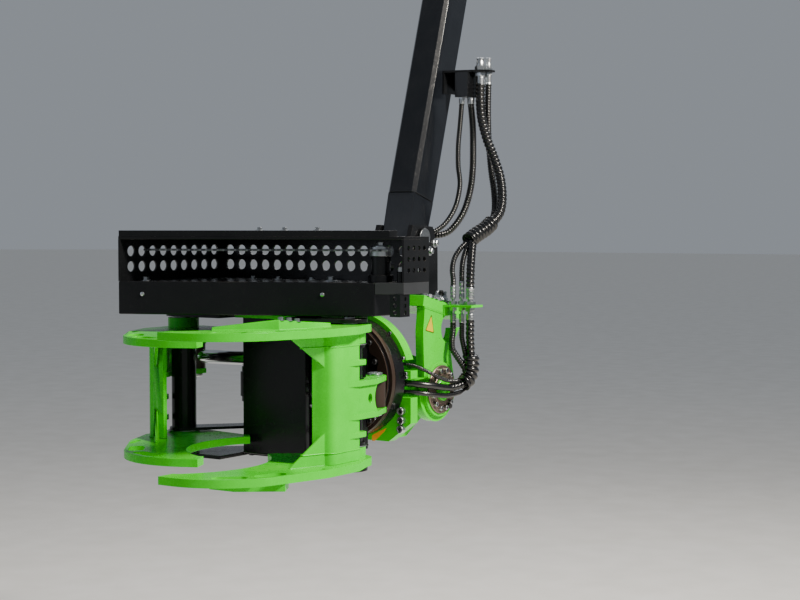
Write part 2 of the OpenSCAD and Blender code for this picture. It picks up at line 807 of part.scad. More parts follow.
// Hoses: each is a radius and the points that it follows in the head's frame, the first at its upper end
stick_routes = [
    [12, [[164, 1334, 1289], [160, 1326, 1190], [158, 1312, 1085], [165, 1300, 985], [178, 1295, 890],
         [165, 1275, 785], [130, 1240, 705], [88, 1200, 664], [50, 1163, 650]]],
    [16, [[192, 1372, 1289], [204, 1371, 1180], [208, 1368, 1070], [212, 1358, 965], [208, 1342, 865],
          [188, 1318, 765], [150, 1288, 690], [115, 1255, 655], [60, 1215, 645], [-10, 1163, 640]]],
    [22, [[240, 1382, 1383], [242, 1378, 1300], [256, 1370, 1210], [282, 1374, 1115], [320, 1380, 1020],
          [358, 1373, 925], [386, 1344, 832], [398, 1304, 758], [392, 1246, 706]]],
    [15, [[270, 1408, 1383], [262, 1418, 1290], [257, 1428, 1190], [260, 1432, 1085], [278, 1422, 966],
          [308, 1400, 860], [334, 1364, 780], [356, 1312, 732], [374, 1262, 712]]]];
bundle_route = [[36, [[390, 1242, 708], [385, 1190, 678], [372, 1130, 650], [362, 1078, 622]]]];
slab_routes = [
    [12, [[352, 1090, 622], [336, 1045, 585], [326, 1010, 540], [325, 993, 490], [332, 990, 445],
          [332, 990, 408]]],
    [12, [[362, 1092, 622], [358, 1058, 575], [362, 1025, 525], [370, 1005, 475], [372, 1002, 430]]],
    [19, [[375, 1094, 622], [390, 1060, 575], [408, 1022, 510], [418, 1002, 450], [418, 1000, 402]]]];
drop_routes = [
    [14, [[332, 990, 250], [332, 988, 200], [334, 975, 150], [350, 962, 105], [385, 970, 60],
          [412, 995, 20]]],
    [12, [[372, 1002, 250], [372, 1002, 200], [372, 1000, 150], [382, 1002, 100], [405, 1008, 50]]],
    [19, [[418, 1000, 262], [418, 1000, 210], [412, 1005, 165], [410, 1010, 115], [418, 1014, 60]]]];
sleeve_route = [[37, [[414, 1012, 66], [422, 1014, 30], [420, 1008, -8], [402, 985, -42]]]];
ring_routes = [
    [9, [[408, 1000, -30], [380, 920, -28], [364, 850, -8], [348, 795, 16], [318, 752, 42],
         [280, 724, 59], [190, 696, 69], [swivel_x, 696, 69]]],
    [17, [[405, 998, -42], [380, 915, -52], [364, 850, -46], [348, 795, -36], [315, 747, -28],
          [258, 710, -22], [190, 696, -22], [swivel_x, 696, -22]]],
    [12, [[405, 998, -58], [380, 915, -86], [362, 850, -84], [346, 797, -76], [314, 750, -68],
          [258, 711, -62], [190, 696, -62], [swivel_x, 696, -62]]]];

function unit(v) = v / norm(v);
hose_sides = 10;
// A way that no hose runs along, from which the rings' directions are taken
across = [1, -0.6, 0.1];
function heading(p, i) = unit(p[min(i + 1, len(p) - 1)] - p[max(i - 1, 0)]);
function ring(p, i, r) = let (t = heading(p, i), u = unit(cross(t, across)), v = cross(t, u))
    [for (k = [0:hose_sides - 1]) p[i] + r * (cos(360 * k / hose_sides) * u + sin(360 * k / hose_sides) * v)];
module hose(r, p) {
    n = hose_sides;
    last = (len(p) - 1) * n;
    polyhedron(
        [for (i = [0:len(p) - 1]) each ring(p, i, r)],
        concat([[for (k = [0:n - 1]) k]],
               [for (i = [0:len(p) - 2], k = [0:n - 1])
                   [i * n + k, (i + 1) * n + k, (i + 1) * n + (k + 1) % n, i * n + (k + 1) % n]],
               [[for (k = [n - 1:-1:0]) last + k]]));
}
module hoses(routes) {
    color(black) at_head() for (h = routes) hose(h[0], h[1]);
}
module hoses_stick() hoses(stick_routes);
module hose_bundle() hoses(bundle_route);
module hoses_slab() hoses(slab_routes);
module hoses_drop() hoses(drop_routes);
module hose_sleeve() hoses(sleeve_route);
module hoses_ring() hoses(ring_routes);

// A hose end at a port: a nut that seats on the plate and a ferrule that runs to the hose's first point
module hose_end(r, from, to) {
    step = to > from ? 1 : -1;
    nut = step * r * 1.2;
    translate([0, 0, min(from, from + nut)]) cylinder(r = r + 7, h = abs(nut));
    translate([0, 0, min(from + nut, to)]) cylinder(r = r + 3, h = abs(to - from - nut));
}
module slab_fittings() {
    color(steel) at_head() for (i = [0:len(adapter_ports) - 1]) {
        port = adapter_ports[i];
        up = slab_routes[i];
        down = drop_routes[i];
        top = up[1][len(up[1]) - 1];
        translate([port[0], port[1], 0]) {
            hose_end(up[0], bulk_z + bulk_t, top[2]);
            hose_end(down[0], bulk_z, down[1][0][2]);
            translate([0, 0, bulk_z]) cylinder(r = port[2] - fit, h = bulk_t);
        }
    }
}
// Bulkhead unions through the stick's bracket: a nut and a capped stub over it, a nut and a ferrule under
module stick_fittings() {
    color(steel) on_bracket() for (p = bulk_ports) translate([p[0], p[1], 0]) {
        translate([0, 0, -p[2] * 1.2]) cylinder(r = p[2] + 6, h = p[2] * 1.2);
        translate([0, 0, -56]) cylinder(r = p[2] + 3, h = 56);
        translate([0, 0, -1]) cylinder(r = p[2] - fit, h = bracket_t + 2);
        translate([0, 0, bracket_t]) cylinder(r = p[2] + 6, h = p[2] * 1.2);
        translate([0, 0, bracket_t]) cylinder(r = p[2] + 1, h = 60);
    }
    color(steel) on_bracket() for (p = valve_ports) translate([p[0], p[1], -valve_low])
        rotate([180, 0, 0]) cylinder(r = p[2] + 3, h = 30);
}

stick_beam();
stick_tip();
stick_ear();
hose_bracket();
hanger();
hanger_pins();
adapter_slab();
adapter_side_right();
adapter_side_left();
actuator_shaft();
actuator_ends();
bulkhead();
valve_block();
actuator_barrel();
carrier_flange();
carrier_frame();
ring_housing();
slew_motor();
ring_plate();
frame_top();
frame_bottom();
frame_box();
frame_mid_plates();
tree_rest();
rest_block();
pivot_tubes();
pivot_pins();
case_pads();
saw_case();
saw_guard();
guard_roof();
guard_rail();
saw_motor();
perforated_bracket();
arm_right_top();
arm_right_bottom();
arm_right_web();
arm_right_lugs();
arm_left_top();
arm_left_bottom();
arm_left_web();
arm_left_lugs();
lever_pins_right();
lever_pins_left();
cylinder_right();
rod_right();
cylinder_left();
rod_left();
saw_bar();
saw_holder();
swivel();
stick_fittings();
slab_fittings();
hoses_stick();
hose_bundle();
hoses_slab();
hoses_drop();
hose_sleeve();
hoses_ring();
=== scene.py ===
"""Looks for the grapple saw felling head on its stick, laid out as a Blender add-on."""

import json
import math

import bmesh
import bpy
from mathutils import Matrix, Vector


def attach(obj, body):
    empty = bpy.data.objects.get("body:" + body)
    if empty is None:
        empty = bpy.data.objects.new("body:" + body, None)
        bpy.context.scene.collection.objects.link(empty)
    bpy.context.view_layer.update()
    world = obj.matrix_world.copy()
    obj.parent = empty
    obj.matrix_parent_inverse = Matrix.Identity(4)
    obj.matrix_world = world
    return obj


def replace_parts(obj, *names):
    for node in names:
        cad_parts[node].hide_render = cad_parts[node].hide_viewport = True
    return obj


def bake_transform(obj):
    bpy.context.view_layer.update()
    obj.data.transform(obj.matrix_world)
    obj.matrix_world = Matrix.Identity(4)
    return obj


bl_info = {
    "name": "Felling Head Dressing",
    "version": (1, 0, 0),
    "blender": (4, 5, 0),
    "location": "View3D > Sidebar > Felling Head",
    "description": "Dresses the packed felling head with finished plates, fasteners, welds, hoses and paint",
    "category": "Object",
}

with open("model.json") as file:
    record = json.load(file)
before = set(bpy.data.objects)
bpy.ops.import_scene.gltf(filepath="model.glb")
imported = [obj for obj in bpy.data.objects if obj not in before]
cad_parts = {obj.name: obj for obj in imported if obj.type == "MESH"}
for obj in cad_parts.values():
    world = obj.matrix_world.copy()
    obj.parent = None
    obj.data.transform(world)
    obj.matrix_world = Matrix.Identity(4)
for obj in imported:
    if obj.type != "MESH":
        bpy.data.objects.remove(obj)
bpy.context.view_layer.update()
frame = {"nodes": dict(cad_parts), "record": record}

MM = 0.001
# The head's own frame has its origin midway between the arm pivots, at their mid-height
HEAD = Vector((0.0, -1.710176, -2.712379))
TILT = Vector((0.0, -0.805176, -2.774379))
LEAN = math.radians(17.0)
HANGER_LEAN = math.radians(13.0)
# Half the distance between the arm pivots, and the place of the ring hoses' inner ends
PIVOT = 450.0
END_X = 0.120
# Half the width of the box between the arms
NECK_HALF = 150
# Faces that carry fasteners: the carrier's flange and the frame's round plate look along -Y, the tilt
# actuator's two ends along X, and the adapter's slab and the saw's case along Z
FLANGE_FACE, ROUND_PLATE_FACE, ACTUATOR_FACE, SLAB_TOP, CASE_TOP = 674, 560, 318, 403, 460
# The guide bar's pivot and how far it is turned from the head's width
SAW_PIVOT, SAW_TURN = (547, 89), 23.2
# What the photograph gives for the camera: focal length, width and the horizon's drop, in its pixels
FOCAL_PX, WIDTH_PX, HORIZON_PX = 1590, 800, 72

# Routes of the hoses in the head's frame, in metres, from their upper ends, as in the part's source
STICK_ROUTES = (
    ((0.164, 1.334, 1.289), (0.160, 1.326, 1.190), (0.158, 1.312, 1.085), (0.165, 1.300, 0.985),
     (0.178, 1.295, 0.890), (0.165, 1.275, 0.785), (0.130, 1.240, 0.705), (0.088, 1.200, 0.664),
     (0.050, 1.163, 0.650)),
    ((0.192, 1.372, 1.289), (0.204, 1.371, 1.180), (0.208, 1.368, 1.070), (0.212, 1.358, 0.965),
     (0.208, 1.342, 0.865), (0.188, 1.318, 0.765), (0.150, 1.288, 0.690), (0.115, 1.255, 0.655),
     (0.060, 1.215, 0.645), (-0.010, 1.163, 0.640)),
    ((0.240, 1.382, 1.383), (0.242, 1.378, 1.300), (0.256, 1.370, 1.210), (0.282, 1.374, 1.115),
     (0.320, 1.380, 1.020), (0.358, 1.373, 0.925), (0.386, 1.344, 0.832), (0.398, 1.304, 0.758),
     (0.392, 1.246, 0.706)),
    ((0.270, 1.408, 1.383), (0.262, 1.418, 1.290), (0.257, 1.428, 1.190), (0.260, 1.432, 1.085),
     (0.278, 1.422, 0.966), (0.308, 1.400, 0.860), (0.334, 1.364, 0.780), (0.356, 1.312, 0.732),
     (0.374, 1.262, 0.712)),
)
BUNDLE_ROUTE = (
    (0.390, 1.242, 0.708), (0.385, 1.190, 0.678), (0.372, 1.130, 0.650), (0.362, 1.078, 0.622))
SLAB_ROUTES = (
    ((0.352, 1.090, 0.622), (0.336, 1.045, 0.585), (0.326, 1.010, 0.540), (0.325, 0.993, 0.490),
     (0.332, 0.990, 0.445), (0.332, 0.990, 0.408)),
    ((0.362, 1.092, 0.622), (0.358, 1.058, 0.575), (0.362, 1.025, 0.525), (0.370, 1.005, 0.475),
     (0.372, 1.002, 0.430)),
    ((0.375, 1.094, 0.622), (0.390, 1.060, 0.575), (0.408, 1.022, 0.510), (0.418, 1.002, 0.450),
     (0.418, 1.000, 0.402)),
)
DROP_ROUTES = (
    ((0.332, 0.990, 0.250), (0.332, 0.988, 0.200), (0.334, 0.975, 0.150), (0.350, 0.962, 0.105),
     (0.385, 0.970, 0.060), (0.412, 0.995, 0.020)),
    ((0.372, 1.002, 0.250), (0.372, 1.002, 0.200), (0.372, 1.000, 0.150), (0.382, 1.002, 0.100),
     (0.405, 1.008, 0.050)),
    ((0.418, 1.000, 0.262), (0.418, 1.000, 0.210), (0.412, 1.005, 0.165), (0.410, 1.010, 0.115),
     (0.418, 1.014, 0.060)),
)
RING_ROUTES = (
    ((0.408, 1.000, -0.030), (0.380, 0.920, -0.028), (0.364, 0.850, -0.008), (0.348, 0.795, 0.016),
     (0.318, 0.752, 0.042), (0.280, 0.724, 0.059), (0.190, 0.696, 0.069), (END_X, 0.696, 0.069)),
    ((0.405, 0.998, -0.042), (0.380, 0.915, -0.052), (0.364, 0.850, -0.046), (0.348, 0.795, -0.036),
     (0.315, 0.747, -0.028), (0.258, 0.710, -0.022), (0.190, 0.696, -0.022), (END_X, 0.696, -0.022)),
    ((0.405, 0.998, -0.058), (0.380, 0.915, -0.086), (0.362, 0.850, -0.084), (0.346, 0.797, -0.076),
     (0.314, 0.750, -0.068), (0.258, 0.711, -0.062), (0.190, 0.696, -0.062), (END_X, 0.696, -0.062)),
)


def at_head(x, y, z):
    """A place in the head's frame, in millimetres, as a place in the row's frame, in metres."""
    return HEAD + Vector((x, y, z)) * MM


def on_hanger():
    return Matrix.Translation(TILT) @ Matrix.Rotation(-HANGER_LEAN, 4, "X")


def on_stick():
    return Matrix.Rotation(-LEAN, 4, "X")


def on_head():
    return Matrix.Translation(HEAD)


def on_bracket():
    """The level bracket on the stick's right side."""
    return Matrix.Translation(on_stick() @ Vector((0.080, 0.0, -1.334)))


def on_tilt():
    return Matrix.Translation(TILT)


def on_right_arm():
    return Matrix.Translation(at_head(PIVOT, 0, 0))


# ---------------------------------------------------------------- sizes and colours


class FELLING_HeadSizes(bpy.types.PropertyGroup):
    weld_width: bpy.props.FloatProperty(
        name="Weld width", description="Leg length of the fillet welds",
        default=0.008, min=0.004, max=0.02, unit="LENGTH")
    guard_rise: bpy.props.FloatProperty(
        name="Guard rise", description="How far a spiral guard's strip stands up, as a share of the radius",
        default=0.25, min=0.05, max=0.4, subtype="FACTOR")
    flange_screw: bpy.props.FloatProperty(
        name="Flange screw", description="Width of the large socket screws in the carrier's flange",
        default=0.036, min=0.02, max=0.05, unit="LENGTH")
    slab_bolt: bpy.props.FloatProperty(
        name="Slab bolt", description="Width over the flats of the bolts on the adapter's slab",
        default=0.022, min=0.015, max=0.04, unit="LENGTH")


class FELLING_HeadPaints(bpy.types.PropertyGroup):
    green: bpy.props.StringProperty(
        name="Green", description="Topcoat of the arms and the carrier, as sRGB hex", default="#2EBE00")
    black: bpy.props.StringProperty(
        name="Black", description="Topcoat of the frame and the saw guard, as sRGB hex", default="#0A0B0D")
    yellow: bpy.props.StringProperty(
        name="Yellow", description="Ground colour of the blank triangle, as sRGB hex", default="#B4A000")
    orange: bpy.props.StringProperty(
        name="Orange", description="Colour of the plain stripe, as sRGB hex", default="#EA9E10")


# ---------------------------------------------------------------- materials


def linear(hexa):
    """sRGB hex to linear RGBA."""
    out = []
    for i in (1, 3, 5):
        v = int(hexa[i:i + 2], 16) / 255
        out.append(v / 12.92 if v <= 0.04045 else ((v + 0.055) / 1.055) ** 2.4)
    return (*out, 1.0)


def add(tree, kind, links=(), stops=(), **settings):
    """Adds a node, sets its sockets and fields by name, and links (socket, from_socket) pairs. stops are
    the (place, colour) pairs of a colour ramp."""
    n = tree.nodes.new(kind)
    if stops:
        for e, (place, colour) in zip(n.color_ramp.elements, stops):
            e.position, e.color = place, colour
    for key, value in settings.items():
        if hasattr(n, key):
            setattr(n, key, value)
        else:
            n.inputs[key.replace("_", " ")].default_value = value
    for socket, source in links:
        tree.links.new(source, n.inputs[socket])
    return n


def new_material(name):
    m = bpy.data.materials.new(name)
    m.use_nodes = True
    m.node_tree.nodes.clear()
    tree = m.node_tree
    shader = add(tree, "ShaderNodeBsdfPrincipled")
    add(tree, "ShaderNodeOutputMaterial", [(0, shader.outputs[0])])
    return m, tree, shader


def shade(colour, factor, lift=0.0):
    """A linear colour made lighter or darker."""
    return tuple(min(1, c * factor + lift) for c in colour[:3]) + (1.0,)


def painted(name, hexa, gloss, dust_hex, dust_amount, peel_mm=3.5, shine=0.5):
    """Sprayed topcoat on cut steel plate: faint orange peel, a film of dust that lies on what faces up,
    and a few scuffs that dull the gloss. The peel's bumps are drawn six times their real 3.5 mm, as they
    would be too fine to show; the dust lies in patches of about 200 mm with a grit of 17 mm."""
    m, tree, shader = new_material(name)
    where = add(tree, "ShaderNodeTexCoord").outputs["Object"]
    peel = add(tree, "ShaderNodeTexNoise", [("Vector", where)], Scale=1000 / peel_mm / 6.28, Detail=2.0)
    broad = add(tree, "ShaderNodeTexNoise", [("Vector", where)], Scale=5.0, Detail=5.0, Roughness=0.6)
    fine = add(tree, "ShaderNodeTexNoise", [("Vector", where)], Scale=60.0, Detail=6.0, Roughness=0.7)
    normal = add(tree, "ShaderNodeNewGeometry").outputs["Normal"]
    up = add(tree, "ShaderNodeSeparateXYZ", [("Vector", normal)]).outputs["Z"]
    upward = add(tree, "ShaderNodeMapRange", [("Value", up)], From_Min=0.02, From_Max=1.0).outputs[0]
    patch = add(tree, "ShaderNodeMapRange", [("Value", broad.outputs[0])], From_Min=0.42, From_Max=0.72)
    grit = add(tree, "ShaderNodeMapRange", [("Value", fine.outputs[0])], From_Min=0.35, From_Max=0.75)
    dust = add(tree, "ShaderNodeMath", [(0, patch.outputs[0]), (1, grit.outputs[0])],
               operation="MULTIPLY").outputs[0]
    lying = add(tree, "ShaderNodeMath", [(0, dust), (1, upward)], operation="MULTIPLY").outputs[0]
    amount = add(tree, "ShaderNodeMath", [(0, lying)], operation="MULTIPLY")
    amount.inputs[1].default_value = dust_amount
    base = linear(hexa)
    tone = add(tree, "ShaderNodeValToRGB", [("Fac", broad.outputs[0])],
               stops=[(0.3, shade(base, 0.86)), (0.7, shade(base, 1.10, 0.002))])
    mix = add(tree, "ShaderNodeMix", [("Factor", amount.outputs[0])], data_type="RGBA")
    tree.links.new(tone.outputs["Color"], mix.inputs["A"])
    mix.inputs["B"].default_value = linear(dust_hex)
    tree.links.new(mix.outputs["Result"], shader.inputs["Base Color"])
    rough = add(tree, "ShaderNodeMapRange", [("Value", amount.outputs[0])], From_Min=0.0, From_Max=0.6,
                To_Min=gloss, To_Max=min(0.9, gloss + 0.4))
    scuff = add(tree, "ShaderNodeMapRange", [("Value", fine.outputs[0])], From_Min=0.5, From_Max=0.8,
                To_Max=0.12)
    total = add(tree, "ShaderNodeMath", [(0, rough.outputs[0]), (1, scuff.outputs[0])], operation="ADD")
    tree.links.new(total.outputs[0], shader.inputs["Roughness"])
    shader.inputs["IOR"].default_value = 1.5
    shader.inputs["Specular IOR Level"].default_value = shine
    bump = add(tree, "ShaderNodeBump", [("Height", peel.outputs[0])], Strength=0.06, Distance=0.0006)
    tree.links.new(bump.outputs[0], shader.inputs["Normal"])
    return m


def metal(name, hexa, rough_low, rough_high, streak=None, scale=180.0):
    """Bare or plated metal: a fine grain, drawn out along one way where it was turned or ground. The grain
    is drawn at 5 mm, far coarser than it is, so that it shows, over patches of about 70 mm."""
    m, tree, shader = new_material(name)
    where = add(tree, "ShaderNodeTexCoord").outputs["Object"]
    if streak:
        where = add(tree, "ShaderNodeMapping", [("Vector", where)], Scale=streak).outputs[0]
    grain = add(tree, "ShaderNodeTexNoise", [("Vector", where)], Scale=scale, Detail=6.0, Roughness=0.65)
    broad = add(tree, "ShaderNodeTexNoise", [("Vector", where)], Scale=14.0, Detail=3.0)
    base = linear(hexa)
    tone = add(tree, "ShaderNodeValToRGB", [("Fac", broad.outputs[0])],
               stops=[(0.3, shade(base, 0.7)), (0.65, base)])
    tree.links.new(tone.outputs["Color"], shader.inputs["Base Color"])
    rough = add(tree, "ShaderNodeMapRange", [("Value", grain.outputs[0])], From_Min=0.3, From_Max=0.7,
                To_Min=rough_low, To_Max=rough_high)
    tree.links.new(rough.outputs[0], shader.inputs["Roughness"])
    shader.inputs["Metallic"].default_value = 1.0
    bump = add(tree, "ShaderNodeBump", [("Height", grain.outputs[0])], Strength=0.12, Distance=0.0004)
    tree.links.new(bump.outputs[0], shader.inputs["Normal"])
    return m


def polyethylene(name, hexa, roughness):
    """Black moulded plastic of hose guards: smooth, a little waxy, with scuffs of about 4 mm and dust in
    patches of about 55 mm."""
    m, tree, shader = new_material(name)
    where = add(tree, "ShaderNodeTexCoord").outputs["Object"]
    scuff = add(tree, "ShaderNodeTexNoise", [("Vector", where)], Scale=240.0, Detail=4.0)
    dust = add(tree, "ShaderNodeTexNoise", [("Vector", where)], Scale=18.0, Detail=5.0)
    tone = add(tree, "ShaderNodeValToRGB", [("Fac", dust.outputs[0])],
               stops=[(0.5, linear(hexa)), (0.85, linear("#1C1E21"))])
    tree.links.new(tone.outputs["Color"], shader.inputs["Base Color"])
    rough = add(tree, "ShaderNodeMapRange", [("Value", scuff.outputs[0])], From_Min=0.3, From_Max=0.7,
                To_Min=roughness, To_Max=roughness + 0.15)
    tree.links.new(rough.outputs[0], shader.inputs["Roughness"])
    shader.inputs["IOR"].default_value = 1.51
    bump = add(tree, "ShaderNodeBump", [("Height", scuff.outputs[0])], Strength=0.1, Distance=0.0003)
    tree.links.new(bump.outputs[0], shader.inputs["Normal"])
    return m


MATERIALS = {}


def make_materials():
    paints = bpy.context.scene.felling_paints
    MATERIALS.update({
        # Two-pack polyurethane topcoat, sprayed: bright, wet gloss with wood dust on its upper faces
        "green_topcoat": painted("green_topcoat", paints.green, 0.26, "#A8A060", 0.28, shine=0.3),
        # The same topcoat in black, a little duller
        "black_topcoat": painted("black_topcoat", paints.black, 0.22, "#5A4F43", 0.34, shine=0.32),
        # The stick's blue-black topcoat
        "stick_topcoat": painted("stick_topcoat", "#0B0E13", 0.20, "#5A4F43", 0.2, shine=0.38),
        # Brown-black topcoat on the ring and the frame's round plate: its brown is partly painted reflection
        # of the brown ground below, and a film of brown wood dust lies on its upper faces
        "dust_and_reflection_topcoat": painted("dust_and_reflection_topcoat", "#2C211B", 0.38, "#6B5443", 0.75, shine=0.3),
        # Primer-grey rail
        "grey_topcoat": painted("grey_topcoat", "#26282B", 0.42, "#5A5046", 0.4, shine=0.3),
        # Calendered vinyl films, stuck on: flat colour and an even, low gloss
        "yellow_film": painted("yellow_film", paints.yellow, 0.5, "#A07C10", 0.1, shine=0.05),
        "orange_film": painted("orange_film", paints.orange, 0.3, "#C07A20", 0.3),
        "dark_film": painted("dark_film", "#3A1E12", 0.35, "#6B5F50", 0.2),
        # Zinc-plated steel of bolts and hose ends: pale, slightly blue, soft reflections
        "zinc_plate": metal("zinc_plate", "#B9BDC0", 0.24, 0.4),
        # Phosphated black socket screws
        "phosphated_steel": metal("phosphated_steel", "#4A4B4D", 0.38, 0.5),
        # Turned steel of pins and end flanges
        "turned_steel": metal("turned_steel", "#A9ACAE", 0.24, 0.4, (1.0, 8.0, 8.0)),
        # Flash-rusted machined steel round the actuator's bolts
        "rusted_steel": metal("rusted_steel", "#85756A", 0.42, 0.6),
        # Ground chrome of the rods: a mirror with the faintest turned marks
        "hard_chrome": metal("hard_chrome", "#D5D8DA", 0.05, 0.12, (1.0, 12.0, 12.0)),
        # Guide bar steel, ground along its length and rubbed by the chain
        "ground_bar_steel": metal("ground_bar_steel", "#8E9193", 0.25, 0.45, (10.0, 1.5, 10.0)),
        # Extruded black polyethylene strip, wound round the hoses: dark, with sharp small highlights
        "spiral_guard": polyethylene("spiral_guard", "#07080A", 0.17),
        # Nitrile rubber and dull black plastic, and the painted shade in the screws' sockets: the same black
        # without the highlights
        "hose_rubber": polyethylene("hose_rubber", "#0C0C0D", 0.5),
    })


# ---------------------------------------------------------------- making pieces


def finish_mesh(bm, name, key, body, place=None, smooth=35.0, unit=MM):
    """A bmesh in millimetres, or of another unit, becomes a piece in metres that rides on body. place is a
    matrix in metres."""
    bmesh.ops.scale(bm, vec=(unit, unit, unit), verts=bm.verts)
    if place is not None:
        bmesh.ops.transform(bm, matrix=place, verts=bm.verts)
    bmesh.ops.recalc_face_normals(bm, faces=bm.faces)
    mesh = bpy.data.meshes.new(name)
    bm.to_mesh(mesh)
    bm.free()
    return shown(mesh, name, key, body, smooth)


def shown(mesh, name, key, body, smooth=35.0):
    obj = bpy.data.objects.new(name, mesh)
    bpy.context.scene.collection.objects.link(obj)
    mesh.materials.clear()
    mesh.materials.append(MATERIALS[key])
    mesh.shade_smooth()
    mesh.set_sharp_from_angle(angle=math.radians(smooth))
    if body:
        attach(obj, body)
    return obj


def frame_of(at, axis):
    """A matrix that takes +Z to axis and the origin to at, both in millimetres."""
    turn = Vector((0, 0, 1)).rotation_difference(Vector(axis)).to_matrix().to_4x4()
    return Matrix.Translation(Vector(at)) @ turn


def lathe(bm, at, axis, profile, sides=24):
    """Spins a profile of (radius, height) pairs round axis, into a closed ring where it stays off it."""
    m = frame_of(at, axis)
    verts = [bm.verts.new(m @ Vector((max(r, 0.0), 0, h))) for r, h in profile]
    edges = [bm.edges.new(p) for p in zip(verts, verts[1:])]
    centre = m @ Vector((0, 0, 0))
    way = m.to_3x3() @ Vector((0, 0, 1))
    done = bmesh.ops.spin(bm, geom=verts + edges, cent=centre, axis=way, dvec=(0, 0, 0),
                          angle=math.tau, steps=sides, use_merge=True, use_duplicate=False)
    bmesh.ops.remove_doubles(bm, verts=bm.verts, dist=0.01)
    return done


def hexagon(bm, at, axis, across, height, turn=0.0, chamfer=True):
    """A hexagon head or nut: its corners are turned down by a chamfer on the outer face."""
    m = frame_of(at, axis) @ Matrix.Rotation(turn, 4, "Z")
    ring = bmesh.ops.create_circle(bm, cap_ends=True, segments=6, radius=across / math.sqrt(3), matrix=m)
    face = ring["verts"][0].link_faces[0]
    side = bmesh.ops.extrude_face_region(bm, geom=[face])
    top = [g for g in side["geom"] if isinstance(g, bmesh.types.BMVert)]
    way = m.to_3x3() @ Vector((0, 0, 1))
    bmesh.ops.translate(bm, vec=way * height, verts=top)
    if chamfer:
        edges = [e for e in set(e for v in top for e in v.link_edges)
                 if e.verts[0] in top and e.verts[1] in top]
        bmesh.ops.bevel(bm, geom=edges, offset=height * 0.12, offset_type="OFFSET", segments=1,
                        profile=0.5, affect="EDGES", material=-1)


def bolt(bm, at, axis, across, turn=0.0, washer=True):
    """A hexagon bolt head on its washer, at a place in millimetres."""
    at, way = Vector(at), Vector(axis).normalized()
    t = across * 0.12
    if washer:
        lathe(bm, at, way, [(0, 0), (across * 0.95, 0), (across * 0.95, t * 0.8),
                            (across * 0.9, t), (0, t)], 20)
    hexagon(bm, at + way * (t * 0.9 if washer else 0), way, across, across * 0.62, turn)


SOCKETS = []


def socket_screw(bm, at, axis, across):
    """A cylindrical head with its hexagon socket; the socket's place is kept so that painted shade can fill
    it later.
    """
    r, h = across / 2, across * 0.66
    lathe(bm, at, axis, [(0, 0), (r, 0), (r, h * 0.9), (r * 0.9, h), (r * 0.55, h), (r * 0.5, h * 0.9),
                         (r * 0.5, h * 0.5), (0, h * 0.5)], 24)
    SOCKETS.append((Vector(at) + Vector(axis).normalized() * h * 0.5, axis, across * 0.44, h * 0.36))


def socket_shade_fill(name, body, place):
    """Painted shade: a dark hexagon that fills the socket of each screw made since the last call."""
    bm = bmesh.new()
    for at, axis, across, h in SOCKETS:
        hexagon(bm, at, axis, across, h, chamfer=False)
    SOCKETS.clear()
    finish_mesh(bm, name, "hose_rubber", body, place)


def box_mesh(bm, low, high, bevel=2.0):
    """A block between two corners with softened edges."""
    low, high = Vector(low), Vector(high)
    size, mid = high - low, (high + low) / 2
    made = bmesh.ops.create_cube(bm, size=1.0,
                                 matrix=Matrix.Translation(mid) @ Matrix.Diagonal((*size, 1.0)))
    if bevel:
        edges = list({e for v in made["verts"] for e in v.link_edges})
        bmesh.ops.bevel(bm, geom=edges, offset=bevel, offset_type="OFFSET", segments=2, profile=0.5,
                        affect="EDGES", material=-1)


def prism(bm, points, low, high, bevel=0.0):
    """A plate from an outline of (x, y) points, between two heights."""
    verts = [bm.verts.new((x, y, low)) for x, y in points]
    face = bm.faces.new(verts)
    side = bmesh.ops.extrude_face_region(bm, geom=[face])
    top = [g for g in side["geom"] if isinstance(g, bmesh.types.BMVert)]
    bmesh.ops.translate(bm, vec=(0, 0, high - low), verts=top)
    if bevel:
        edges = list({e for v in verts + top for e in v.link_edges})
        bmesh.ops.bevel(bm, geom=edges, offset=bevel, offset_type="OFFSET", segments=2, profile=0.5,
                        affect="EDGES", material=-1)


def smooth_line(route, step):
    """An even-stepped smooth curve through a route's points, straight out of both of its ends."""
    p = [HEAD + Vector(q) for q in route]
    p = [p[0] * 2 - p[1], *p, p[-1] * 2 - p[-2]]
    fine = []
    for a, b, c, d in zip(p, p[1:], p[2:], p[3:]):
        for k in range(32):
            t = k / 32
            fine.append(0.5 * (2 * b + (c - a) * t + (2 * a - 5 * b + 4 * c - d) * t * t
                               + (3 * b - 3 * c + d - a) * t ** 3))
    fine.append(p[-2])
    total = sum((b - a).length for a, b in zip(fine, fine[1:]))
    count = max(8, round(total / step))
    out, run, want = [fine[0]], 0.0, total / count
    for a, b in zip(fine, fine[1:]):
        part = (b - a).length
        while run + part >= want - 1e-9 and len(out) < count:
            out.append(a.lerp(b, (want - run) / part))
            want += total / count
        run += part
    out.append(fine[-1])
    return out


def lengths(line):
    """The length run from a line's start to each of its points."""
    out = [0.0]
    for a, b in zip(line, line[1:]):
        out.append(out[-1] + (b - a).length)
    return out


def long(line):
    return lengths(line)[-1]


def eased(line, low, high, step=0.012, rounds=60, taper=0.04):
    """A route whose bends between two lengths along the line are opened, with both of its ends in place."""
    coarse, stops = [line[0]], [0.0]
    for at, run in zip(line[1:], lengths(line)[1:]):
        if run - stops[-1] > step:
            coarse.append(at)
            stops.append(run)
    coarse[-1] = line[-1]
    for _ in range(rounds):
        before = [p.copy() for p in coarse]
        for i in range(1, len(coarse) - 1):
            share = max(0.0, min((stops[i] - low) / taper, (high - stops[i]) / taper, 1.0))
            coarse[i] = before[i].lerp((before[i - 1] + before[i + 1]) / 2, 0.5 * share)
    return [p - HEAD for p in coarse]


